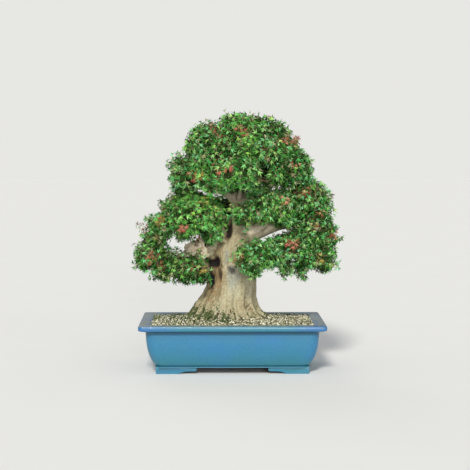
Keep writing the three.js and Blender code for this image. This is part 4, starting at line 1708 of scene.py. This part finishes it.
# a pad with more than one lobe has several rows of its name
PADS = (
    Pad("apex", (36, 0, 748), (203, 184, 162), 90, 0.50, 0.12, 0.10, 2.1),
    Pad("apex", (-40, -10, 800), (123, 130, 90), 60, 0.48, 0.12, 0.10, 2.2),
    Pad("apex", (24, -30, 862), (74, 60, 30), 20, 0.52, 0.0, 0.40, 2.3),
    Pad("upper_left", (-100, -14, 686), (126, 156, 84), 72, 0.42, 0.10, 0.10),
    Pad("upper_right", (172, -10, 704), (116, 156, 84), 68, 0.44, 0.30),
    Pad("upper_front", (30, -116, 694), (140, 100, 76), 62, 0.44, 0.10, 0.04),
    Pad("upper_front", (120, -120, 672), (70, 100, 60), 40, 0.40, 0.15, 0.04),
    Pad("upper_front", (24, -92, 662), (44, 38, 30), 22, 0.44, 0.10, 0.04),
    Pad("upper_back", (34, 142, 696), (150, 112, 96), 66),
    Pad("mid_left", (-127, -40, 545), (102, 150, 90), 88, 0.56, 0.0, 0.0, 2.2),
    Pad("mid_left", (-188, -30, 556), (52, 110, 60), 60, 0.48, 0.05, 0.05, 2.0),
    Pad("far_left", (-212, -8, 508), (86, 130, 58), 66, 0.50, 0.08, 0.06, 2.2),
    Pad("far_left", (-272, -8, 478), (50, 110, 42), 46, 0.48, 0.10, 0.10, 2.0),
    Pad("low_left", (-284, -15, 390), (74, 120, 54), 56, 0.38, 0.15, 0.16, 3.0),
    Pad("low_left", (-190, -20, 368), (92, 138, 52), 44, 0.40, 0.15, 0.16, 2.2),
    Pad("low_left", (-136, -40, 342), (62, 90, 44), 36, 0.36, 0.30, 0.05),
    Pad("mid_right", (135, -32, 582), (125, 112, 68), 54, 0.68, 0.12, 0.0, 2.3),
    Pad("mid_right", (54, -84, 560), (46, 52, 42), 32, 0.68, 0.12, 0.0),
    Pad("mid_right", (118, -68, 556), (46, 44, 36), 32, 0.58, 0.12, 0.0),
    Pad("mid_right", (186, -66, 532), (48, 44, 24), 16, 0.54, 0.15, 0.0),
    Pad("far_right", (271, 4, 590), (95, 138, 88), 96, 0.48, 0.16, 0.12, 2.1),
    Pad("far_right", (296, -10, 500), (80, 130, 80), 80, 0.47, 0.16, 0.08, 2.1),
    Pad("low_right", (232, -12, 418), (134, 152, 78), 69, 0.42, 0.20, 0.0, 2.3),
    Pad("low_right", (294, -20, 388), (74, 130, 60), 54, 0.40, 0.20, 0.10, 3.0),
    Pad("front_right", (90, -148, 420), (86, 98, 50), 68, 0.48, 0.12, 0.0, 2.0),
    Pad("back_left", (-110, 138, 556), (138, 112, 66), 66),
    Pad("back_right", (150, 132, 562), (140, 112, 76), 44),
    Pad("back_low", (-15, 148, 430), (126, 102, 66), 60),
)

# x and z in millimetres on the front of the new red shoots, of the fading ones and of the golden ones
NEW_GROWTH = (
    (-66, 857), (11, 860), (42, 832), (112, 790), (179, 808), (228, 822), (-73, 731), (-49, 703),
    (-24, 720), (-147, 664), (182, 580), (-171, 514), (-163, 506), (207, 468), (200, 456), (212, 446),
    (-280, 416),
)
FADING = (
    (-52, 822), (77, 836), (222, 822), (245, 790), (221, 724), (-266, 535), (-318, 507), (319, 556),
    (291, 524), (-7, 423), (21, 419), (-262, 402), (-287, 374), (-259, 370), (-140, 374), (256, 643),
    (273, 647),
)
GOLDEN = ((-115, 692), (-98, 612), (-266, 552), (-98, 370), (301, 398))

# openings in the crown in millimetres: x, z, half width, half height and how far back they reach
WINDOWS = (
    (110, 706, 21, 30, 60), (98, 655, 10, 18, 60), (26, 604, 25, 19, 60), (175, 646, 26, 8, 300),
    (-88, 612, 34, 8, 300), (12, 492, 22, 30, 60), (-10, 548, 8, 26, 60), (-60, 345, 19, 46, 300),
    (180, 499, 27, 10, 300),
)


@dataclass(frozen=True)
class Sprig:
    """A long shoot past the outline, in millimetres: its foot, way and length, and how young it is."""

    foot: Point
    way: Point
    length: float
    young: float = 0.85


SPRIGS = [Sprig(*row) for row in (
    ((14, -50, 866), (-0.3, -0.3, 1.0), 24, 0.20), ((36, -40, 868), (0.1, -0.2, 1.0), 28, 0.15),
    ((62, -30, 862), (0.4, -0.1, 1.0), 30, 0.10), ((178, -120, 366), (0.1, -0.2, -1.0), 34, 0.0),
    ((246, -90, 352), (0.2, -0.2, -1.0), 26, 0.0), ((-226, -40, 552), (-0.8, -0.1, 0.65), 30, 0.4),
    ((-276, -20, 524), (-0.9, -0.2, 0.30), 28, 0.0), ((-298, -30, 500), (-1.0, -0.1, 0.20), 36, 0.3),
    ((320, -60, 470), (0.9, -0.2, 0.1), 40), ((202, -70, 788), (0.6, -0.2, 0.6), 34),
    ((130, 110, 850), (0.3, 0.6, 0.7), 45), ((-50, 140, 815), (-0.3, 0.8, 0.5), 45),
    ((330, 80, 600), (0.8, 0.4, 0.3), 40), ((-200, 150, 600), (-0.5, 0.8, 0.3), 42),
)]


@dataclass(frozen=True)
class LeafForm:
    """A three-lobed blade on its stalk, one unit long without the stalk."""

    spread: float
    cup: float
    droop: float
    bend: float
    plain: bool = False
    stalk: float = 0.42
    stalk_thick: float = 0.042
    rise: float = 0.10
    tilt: float = 0.45

    def _flat(self) -> tuple[list[Pair], list[tuple[int, ...]]]:
        """The blade laid flat: its points, the spine's first, and its triangles.

        Returns:
            The points and the triangles.
        """
        wide = self.spread
        if self.plain:
            spine = [(0.0, 0.0), (0.0, 0.46), (0.0, 1.08)]
            half = [(0.17, 0.20), (wide, 0.78), (0.080, 0.40)]
            side = [(0, 3, 1), (3, 4, 5), (3, 5, 1), (5, 2, 1)]
        else:
            spine = [(0.0, 0.0), (0.0, 0.40), (0.0, 0.76), (0.0, 1.10)]
            half = [(0.11, 0.04), (0.20, 0.22), (wide, 0.80), (0.080, 0.42), (0.085, 0.74)]
            side = [(0, 4, 1), (4, 5, 1), (5, 7, 1), (5, 6, 7), (1, 7, 2), (7, 8, 2), (8, 3, 2)]
        other = [tuple(k + len(half) if k >= len(spine) else k for k in face)[::-1] for face in side]
        return spine + half + [(-x, y) for x, y in half], side + other

    def mesh(self, name: str) -> Mesh:
        """Makes the leaf, its stalk's foot at the origin and its tip towards +Y.

        Args:
            name: the mesh's name.

        Returns:
            The leaf's mesh, with the place on the blade kept as an attribute.
        """
        flat, faces = self._flat()
        sin, cos = math.sin(self.tilt), math.cos(self.tilt)
        points, blades = [], []
        for x, y in flat:
            rise = self.cup * abs(x) - self.droop * y * y - 0.9 * self.cup * max(abs(x) - 0.3, 0.0)
            forth, height = self.stalk + y * cos + rise * sin, self.rise - y * sin + rise * cos
            points.append((x + self.bend * y * y, forth, height))
            blades.append((x, y, 1.0))
        base, thick = len(points), self.stalk_thick
        for k in range(3):
            angle = k * 2 * math.pi / 3
            points.append((thick * math.cos(angle), 0.0, thick * math.sin(angle)))
            blades.append((0.0, 0.0, 0.0))
        points.append((0.0, self.stalk + 0.02, self.rise))
        blades.append((0.0, 0.0, 0.0))
        faces += [(base + k, base + 3, base + (k + 1) % 3) for k in range(3)]
        made = mesh_of(name, points, (), faces)
        keep(made, "blade", np.array(blades))
        made.shade_flat()
        return made


@dataclass
class Crown:
    """Fifteen pads of leaves with the branchlets and shoots that carry them."""

    seed: int = 21
    spacing: float = 0.0370
    heart_depth: float = 0.038
    shoots_per_clump: int = 12
    leaf_length: float = 0.0220
    pairs: int = 5
    outer_forms: int = 3
    inner_shade: float = 1.05
    aims: int = 1400
    buried: float = 0.62
    underside: float = -0.93
    clump_angle: float = 1.12
    new_shoots: float = 0.010
    long_shoots: float = 0.08
    shoot_lengths: Pair = (0.024, 0.048)
    shoot_radii: Pair = (0.0010, 0.0005)
    branchlet_points: int = 6
    branchlet_radii: Pair = (0.0013, 0.0011)
    leaf_sizes: Pair = (0.70, 1.12)
    window_edge: Pair = (1.25, 0.35)
    long_shoot: float = 0.050
    bare: float = 0.26
    bare_new: float = 0.72
    forms: Sequence[LeafForm] = (
        LeafForm(0.50, 0.80, 0.30, 0.06),
        LeafForm(0.57, 0.60, 0.45, -0.10),
        LeafForm(0.43, 1.00, 0.22, 0.12),
        LeafForm(0.54, 0.75, 0.28, 0.05, True),
        LeafForm(0.46, 0.90, 0.42, -0.08, True),
    )
    hearts: Array = field(init=False)
    ways: Array = field(init=False)
    homes: Array = field(init=False)
    rng: Rng = field(init=False)

    def build(self, leaf_skin: Material, twig_skin: Material) -> None:
        """Makes the leaves in place of the CAD pads, and the twigs.

        Args:
            leaf_skin: the leaves' finish.
            twig_skin: the twigs' finish.
        """
        self.rng = np.random.default_rng(self.seed)
        self._place_clumps()
        shoots = self._shoots()
        branchlets = tube_tree("branchlet_tubes", twig_skin, 6)
        own(branchlets.grow("branchlets", chain_mesh("branchlets", self._branchlets()), {}))
        thin = tube_tree("shoot_tubes", twig_skin, 3)
        lines = [self._bent(foot, way, length) for foot, way, length, _, _ in shoots]
        chains = [(line, np.linspace(*self.shoot_radii, len(line))) for line in lines]
        own(thin.grow("shoots", chain_mesh("shoots", chains), {}))
        self._leaves(shoots, leaf_skin)

    def _place_clumps(self) -> None:
        """Spreads clumps evenly over the pads' outlines, none of them buried in another pad."""
        spots, ways, homes = [], [], []
        for home, pad in enumerate(PADS):
            aims = unit(self.rng.normal(size=(self.aims, 3)))
            skin, normal = pad.skin(aims)
            uneven = 0.014 * lattice_noise(skin, 0.060, 41) + 0.013 * lattice_noise(skin, 0.030, 42)
            uneven *= 1 + 0.8 * np.clip(-normal[:, 2], 0, 1)
            hearts = skin - normal * (self.heart_depth + 0.012 * normal[:, 2] + uneven)[:, None]
            free = normal[:, 2] > self.underside
            for other in PADS:
                if other is not pad:
                    free &= other.out(hearts) > self.buried
            spots.append(hearts[free])
            ways.append(normal[free])
            homes.append(np.full(free.sum(), home))
        spots, ways, homes = np.concatenate(spots), np.concatenate(ways), np.concatenate(homes)
        order = self.rng.permutation(len(spots))
        chosen: list[int] = []
        for k in order:
            gap = self.spacing * (1.15 if ways[k, 2] < -0.75 else 1.0)
            if not chosen or np.linalg.norm(spots[chosen] - spots[k], axis=1).min() > gap:
                chosen.append(k)
        self.hearts, self.ways, self.homes = spots[chosen], ways[chosen], homes[chosen]
        log.info("%d clumps", len(chosen))

    def _shoots(self) -> list[tuple[Array, Array, float, int, float]]:
        """The shoots of every clump: foot, way, length, pad and how young they are.

        Returns:
            The shoots.
        """
        shoots = []
        for heart, way, home in zip(self.hearts, self.ways, self.homes):
            axis = unit(way + UP * (0.30 if way[2] > 0 else 0.12))
            side = unit(np.cross(axis, self.rng.normal(size=3)))
            other = np.cross(axis, side)
            for k in range(self.shoots_per_clump):
                polar = self.clump_angle * math.sqrt((k + 0.5) / self.shoots_per_clump)
                turn = k * GOLDEN_TURN + self.rng.uniform(-0.4, 0.4)
                sideways = side * math.cos(turn) + other * math.sin(turn)
                aim = axis * math.cos(polar) + sideways * math.sin(polar)
                aim = unit(aim + self.rng.normal(size=3) * 0.14)
                young = self.rng.uniform(0.3, 0.8) if self.rng.random() < self.new_shoots else 0.0
                length = self.rng.uniform(*self.shoot_lengths)
                length *= 1.4 if self.rng.random() < self.long_shoots else 1.0
                shoots.append((heart - axis * 0.012, aim, length, int(home), young))
        shoots = [shoot for shoot in shoots if not self._in_window(shoot[0] + shoot[1] * shoot[2])]
        self._tinge(shoots)
        for sprig in SPRIGS:
            foot = np.array(sprig.foot) / MM
            home = int(np.argmin([pad.out(foot[None])[0] for pad in PADS]))
            shoots.append((foot, unit(np.array(sprig.way)), sprig.length / MM, home, sprig.young))
        return shoots

    def _in_window(self, spot: Array) -> bool:
        """Whether a place lies in one of the openings in the crown's front.

        Args:
            spot: the place in metres.

        Returns:
            Whether it does.
        """
        x, y, z = spot * MM
        usual, uneven = self.window_edge
        ragged = usual + uneven * math.sin(0.41 * x + 0.9 * z)
        for middle, height, wide, tall, back in WINDOWS:
            if y < back and math.hypot((x - middle) / wide, (z - height) / tall) < ragged:
                return True
        return False

    @staticmethod
    def _tinge(shoots: list) -> None:
        """Marks the foremost shoots at the places of new growth as red, and the golden ones.

        Args:
            shoots: all shoots, some of which are changed.
        """
        tips = np.array([foot + way * (length + 0.008) for foot, way, length, _, _ in shoots])
        taken: list[int] = []
        reach, never = 0.03, 99.0
        for spots, tinge in ((NEW_GROWTH, 1.0), (FADING, 0.6), (GOLDEN, -0.8)):
            for x, z in spots:
                off = np.hypot(tips[:, 0] - x / MM, tips[:, 2] - z / MM)
                cost = off / 0.010 + np.where(off < reach, 0, 9) + tips[:, 1] / 0.03
                cost[taken] = never
                taken.append(int(np.argmin(cost)))
                shoots[taken[-1]] = (*shoots[taken[-1]][:4], tinge)

    @staticmethod
    def _bent(foot: Array, way: Array, length: float) -> Array:
        """A shoot's line, which turns a little towards the light."""
        steps = np.linspace(0, 1, 2)[:, None]
        return foot + way * steps * length + UP * (steps**2) * length * 0.16

    def _stems(self) -> Array:
        """Points along the wood that branchlets can spring from.

        Returns:
            The points.
        """
        heights = np.arange(0.60, 0.85, 0.012)
        stems = list(np.stack([*trunk_at(heights, 1, 2), heights], 1))
        for limb in LIMBS.values():
            path = np.array(limb.path) / MM
            for a, b in zip(path[1:-1], path[2:]):
                stems += [a + (b - a) * t for t in np.linspace(0, 1, 9)]
        return np.array(stems)

    def _branchlets(self) -> list[Arrays]:
        """Branchlets from the limbs to every clump, each from the nearest that has grown.

        Returns:
            Their points and radii.
        """
        grown = self._stems()
        owner = np.full(len(grown), -1)
        start_gap = np.linalg.norm(self.hearts[:, None] - grown[None], axis=2).min(1)
        paths, parents = [], []
        for k in np.argsort(start_gap):
            goal = self.hearts[k] - self.ways[k] * 0.014
            gap = np.linalg.norm(grown - goal, axis=1)
            near = int(np.argmin(gap + np.where(owner < 0, 0.0, 0.006)))
            foot = grown[near]
            pull = (foot + goal) / 2 + self.rng.normal(size=3) * 0.10 * gap[near] + UP * 0.06 * gap[near]
            path = curve(foot, pull, goal, self.branchlet_points)
            parents.append(int(owner[near]))
            owner = np.concatenate((owner, np.full(len(path) - 1, len(paths))))
            grown = np.concatenate((grown, path[1:]))
            paths.append(path)
        load = np.ones(len(paths))
        for k in range(len(paths) - 1, -1, -1):
            if parents[k] >= 0:
                load[parents[k]] += load[k]
        feet, tip = self.branchlet_radii[0] * load**0.42, self.branchlet_radii[1]
        return [(path, np.linspace(foot, tip, len(path))) for path, foot in zip(paths, feet)]

    def _leaves_on(self, shoot: tuple) -> list[tuple]:
        """Opposite pairs of leaves along a shoot.

        Args:
            shoot: its foot, way, length, pad and how young it is.

        Returns:
            For each leaf its place, aim and face, its size, how young it is, its form and its shade.
        """
        foot, way, length, _, young = shoot
        line = self._bent(foot, way, length)
        side = unit(np.cross(way, self.rng.normal(size=3)))
        count = self.pairs + int(length > self.long_shoot)
        start = self.bare_new if young < 0 or young == 1.0 else self.bare
        hang = min(max(0.70 - way[2], 0.0), 1.0)
        leaves = []
        for node, hand in product(range(count), (1, -1)):
            share = start + (1 - start) * node / (count - 1)
            spot = line[0] + (line[-1] - line[0]) * share
            turned = side if node % 2 == 0 else np.cross(way, side)
            aim = 0.50 * way + hand * 0.75 * turned + (0.15 - 0.85 * hang) * UP
            aim = unit(aim + self.rng.normal(size=3) * 0.30)
            face = (0.80 - 0.45 * hang) * UP + (0.4 + 0.6 * hang) * way
            face = unit(face + self.rng.normal(size=3) * 0.55)
            size = self.rng.uniform(*self.leaf_sizes) * (0.85 if young > 0 else 1.0) * (1.08 - 0.22 * share)
            outermost = node == count - 1
            first, last = (0, self.outer_forms) if outermost else (self.outer_forms, len(self.forms))
            form = self.rng.integers(first, last)
            leaves.append((*spot, *aim, *face, size, young, form, self.inner_shade * (1 - share)))
        return leaves

    def _leaves(self, shoots: list, leaf_skin: Material) -> None:
        """Sets opposite pairs of leaves along every shoot, one piece of leaves for each pad.

        Args:
            shoots: all shoots.
            leaf_skin: the leaves' finish.
        """
        rows: list[list] = [[] for _ in PADS]
        for shoot in shoots:
            rows[shoot[3]] += self._leaves_on(shoot)
        forms = bpy.data.collections.new("leaf_forms")
        for k, form in enumerate(self.forms):
            forms.objects.link(bpy.data.objects.new(f"form_{k}", form.mesh(f"form_{k}")))
        tree = self._leaf_tree(forms, leaf_skin)
        for name in dict.fromkeys(pad.name for pad in PADS):
            lobes = [k for k, pad in enumerate(PADS) if pad.name == name]
            data = np.array([leaf for k in lobes for leaf in rows[k]])
            hues = [(PADS[k].bright, PADS[k].cool, PADS[k].dry) for k in lobes for _ in rows[k]]
            mesh = mesh_of("leaf_points", data[:, :3])
            kept = {"aim": data[:, 3:6], "face": data[:, 6:9], "size": data[:, 9], "young": data[:, 10]}
            kept |= {"tint": self.rng.random(len(data)), "form": data[:, 11].astype(np.int32)}
            wide, small, middling = (lattice_noise(data[:, :3], size, 31) for size in (0.075, 0.030, 0.055))
            clouds = np.column_stack((0.22 * wide + 0.14 * small, 0.15 * middling, -0.12 * wide))
            kept["hue"] = np.array(hues) + clouds
            # painted shade: the inner leaves of each shoot are darker
            kept["hue"][:, 0] -= data[:, 12]
            for attribute, values in kept.items():
                keep(mesh, attribute, values)
            leaves = tree.grow(f"leaves_{name}", mesh, {"Leaf length": self.leaf_length})
            own(leaves, [f"foliage_{name}"])
        for made in list(forms.objects):
            bpy.data.objects.remove(made)
        bpy.data.collections.remove(forms)

    @staticmethod
    def _leaf_tree(forms: Collection, leaf_skin: Material) -> GeoTree:
        """Geometry Nodes that set one leaf on each point, turned by its aim and face.

        Args:
            forms: the leaves to pick from.
            leaf_skin: their finish.

        Returns:
            The tree.
        """
        tree = GeoTree("leaves_on_shoots")
        length = tree.size("Leaf length", 0.026)
        align = "FunctionNodeAlignRotationToVector"
        aim = {"Vector": tree.attribute("aim", "FLOAT_VECTOR")}
        turn = tree.node(align, aim, axis="Y")["Rotation"]
        inputs = {"Rotation": turn, "Vector": tree.attribute("face", "FLOAT_VECTOR")}
        turn = tree.node(align, inputs, axis="Z", pivot_axis="Y")["Rotation"]
        inputs = {
            "Points": tree.mesh, "Instance": tree.family(forms), "Pick Instance": True,
            "Instance Index": tree.attribute("form", "INT"), "Rotation": turn,
            "Scale": length * tree.attribute("size"),
        }
        return tree.finish(tree.node("GeometryNodeInstanceOnPoints", inputs)["Instances"], leaf_skin)


# Ground cover


@dataclass
class GroundCover:
    """Loose grit over the soil and moss at the foot of the trunk."""

    seed: int = 3
    grain: float = 0.0069
    grain_gap: float = 0.0046
    tuft: float = 0.0058
    tuft_gap: float = 0.0038
    tuft_lift: float = 0.0015
    most_grains: float = 200000.0
    most_tufts: float = 100000.0
    ledge_heights: Pair = (0.172, 0.189)
    mossy_heights: Pair = (0.172, 0.236)
    soil_top: float = 0.155
    copy_sizes: Pair = (0.62, 1.25)

    def build(self, grit: Material, moss: Material, wood: Object) -> None:
        """Lays the grains and the moss.

        Args:
            grit: the grains' finish.
            moss: the moss's finish.
            wood: the wood, whose roots carry some of the moss.
        """
        top = self._top_of_soil(wood)
        grains = self._scatter("grit_grains", self._forms("grain", 4, self.seed, 0.32), grit)
        sizes = {"Gap": self.grain_gap, "Density": self.most_grains, "Size": self.grain}
        own(grains.grow("grit", top, sizes))
        tufts = self._scatter("moss_tufts", self._forms("tuft", 3, self.seed + 9, 0.45), moss)
        sizes = {"Gap": self.tuft_gap, "Density": self.most_tufts, "Size": self.tuft}
        sizes["Lift"] = self.tuft_lift
        own(tufts.grow("moss", self._moss_bed(top, wood), sizes))

    def _top_of_soil(self, wood: Object) -> Mesh:
        """The soil's upper side and the buried ledge of the roots, as a mesh to scatter on.

        Args:
            wood: the wood.

        Returns:
            The mesh.
        """
        made = bmesh.new()
        made.from_mesh(wood.data)
        low, high = self.ledge_heights
        bare = [f for f in made.faces if f.normal.z < 0.7 or not low < f.calc_center_median().z < high]
        bmesh.ops.delete(made, geom=bare, context="FACES")
        ledge = baked(made, "root_ledge")
        made.from_mesh(frame["nodes"]["soil"].data)
        bmesh.ops.remove_doubles(made, verts=made.verts, dist=WELD)
        bare = [f for f in made.faces if f.normal.z < 0.5 or f.calc_center_median().z < self.soil_top]
        bmesh.ops.delete(made, geom=bare, context="FACES")
        made.from_mesh(ledge)
        mesh = baked(made, "soil_top")
        green = self._green(points_of(mesh))
        keep(mesh, "cover", 1 - 0.6 * green)
        keep(mesh, "green", np.maximum(green, 0.13))
        return mesh

    @staticmethod
    def _green(spots: Array) -> Array:
        """Where moss grows on the soil: round the trunk and in one clump in front.

        Args:
            spots: points on the soil.

        Returns:
            How much moss grows at each, from 0 to 1.
        """
        x, y, _ = spots.T
        near = hill(np.hypot((x + 0.02) / 0.17, y / 0.14), 0.0, 1.0, 4)
        green = near * np.clip(0.35 + 1.3 * lattice_noise(spots, 0.045, 12), 0, 1)
        green = np.maximum(green, near * (x < -0.06) * 0.8)
        left = np.clip((-0.10 - x) / 0.08, 0, 1) * np.clip(0.30 + lattice_noise(spots, 0.030, 14), 0, 1)
        clump = hill(np.hypot((x + 0.022) / 0.028, (y + 0.128) / 0.022), 0.0, 1.0, 4)
        return np.maximum(np.maximum(green, left * 0.45), clump)

    def _moss_bed(self, top: Mesh, wood: Object) -> Mesh:
        """The soil's top and the lowest bark as one mesh, with how much moss grows where.

        Args:
            top: the soil's top.
            wood: the wood.

        Returns:
            The mesh.
        """
        made = bmesh.new()
        made.from_mesh(wood.data)
        low, high = self.mossy_heights
        bare = [f for f in made.faces if not low < f.calc_center_median().z < high]
        bmesh.ops.delete(made, geom=bare, context="FACES")
        mesh = baked(made, "bark_foot")
        on_bark = np.clip(read(mesh.attributes["mark"].data, "vector")[:, 1] * 1.8 - 0.10, 0, 1)
        made.from_mesh(top)
        made.from_mesh(mesh)
        bed = baked(made, "moss_bed")
        bed.attributes.remove(bed.attributes["cover"])
        on_soil = read(top.attributes["green"].data, "value", 1)[:, 0]
        keep(bed, "cover", np.concatenate((on_soil, on_bark)))
        return bed

    def _scatter(self, name: str, forms: Collection, material: Material) -> GeoTree:
        """Geometry Nodes that strew copies over a surface.

        Args:
            name: the tree's name.
            forms: the shapes to pick from.
            material: their finish.

        Returns:
            The tree, whose mesh says in cover how thickly they lie.
        """
        tree = GeoTree(name)
        gap, density = tree.size("Gap", 0.005), tree.size("Density", 1000.0)
        size, lift = tree.size("Size", 0.005), tree.size("Lift", 0.0)
        inputs = {
            "Mesh": tree.mesh, "Distance Min": gap, "Density Max": density,
            "Density Factor": tree.attribute("cover"), "Seed": self.seed,
        }
        spread = tree.node("GeometryNodeDistributePointsOnFaces", inputs, distribute_method="POISSON")
        raised = tree.node("ShaderNodeCombineXYZ", {"Z": lift})["Vector"]
        inputs = {"Geometry": spread["Points"], "Offset": raised}
        points = tree.node("GeometryNodeSetPosition", inputs)["Geometry"]
        inputs = {
            "Points": points, "Instance": tree.family(forms), "Pick Instance": True,
            "Rotation": tree.chance((0.0,) * 3, (FULL_TURN,) * 3, self.seed + 1),
            "Scale": size * tree.chance(*self.copy_sizes, self.seed + 2),
        }
        laid = tree.node("GeometryNodeInstanceOnPoints", inputs)["Instances"]
        return tree.finish(tree.named(laid, "tint", tree.chance(0.0, 1.0, self.seed + 3)), material)

    @staticmethod
    def _lump(name: str, rng: Rng, sides: int, rough: float) -> Object:
        """A small closed stone or cushion: two poles and a ring between them.

        Args:
            name: its name.
            rng: the source of chance.
            sides: how many points its ring has.
            rough: how uneven it is.

        Returns:
            The object.
        """
        points = [(0.0, 0.0, 0.5 * rng.uniform(0.7, 1.1)), (0.0, 0.0, -0.5 * rng.uniform(0.7, 1.1))]
        for k in range(sides):
            angle = 2 * math.pi * (k + rng.uniform(-0.25, 0.25)) / sides
            reach = 0.5 * rng.uniform(1 - rough, 1 + rough)
            height = rng.uniform(-rough, rough) * 0.4
            points.append((reach * math.cos(angle), reach * math.sin(angle), height))
        faces = []
        for k in range(sides):
            here, after = 2 + k, 2 + (k + 1) % sides
            faces += [(0, here, after), (1, after, here)]
        return bpy.data.objects.new(name, mesh_of(name, points, (), faces))

    def _forms(self, name: str, count: int, seed: int, rough: float) -> Collection:
        """A few grains or tufts to pick from.

        Args:
            name: what each is called.
            count: how many there are.
            seed: where their chance starts.
            rough: how uneven they are.

        Returns:
            The collection that holds them.
        """
        rng = np.random.default_rng(seed)
        forms = bpy.data.collections.new(f"{name}_forms")
        for k in range(count):
            forms.objects.link(self._lump(f"{name}_{k}", rng, 5, rough))
        return forms


# Carried-over nodes


def dress_cad_nodes() -> None:
    """Gives the CAD nodes that stay in sight their finishes."""
    screen, wire, earth = SCREEN_PLASTIC.material(), CLIP_WIRE.material(), Earth().material()
    finishes = {
        "drain_screen_left": screen, "drain_screen_right": screen,
        "screen_clip_left": wire, "screen_clip_right": wire, "soil": earth,
    }
    for name, material in finishes.items():
        dress(frame["nodes"][name].data, material)
        log.info("%-24s %s", name, material.name)


def main() -> None:
    """Builds the studio and every piece, in order."""
    logging.basicConfig(level=logging.INFO, format="%(message)s", stream=sys.stdout)
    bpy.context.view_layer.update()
    Studio().build()
    dress_cad_nodes()
    Pot().build(Glaze().material())
    wood = Wood().build(Bark().material())
    GroundCover().build(Grit().material(), Moss().material(), wood)
    Crown().build(LeafSkin().material(), TwigSkin().material())


if __name__ == "__main__":
    main()
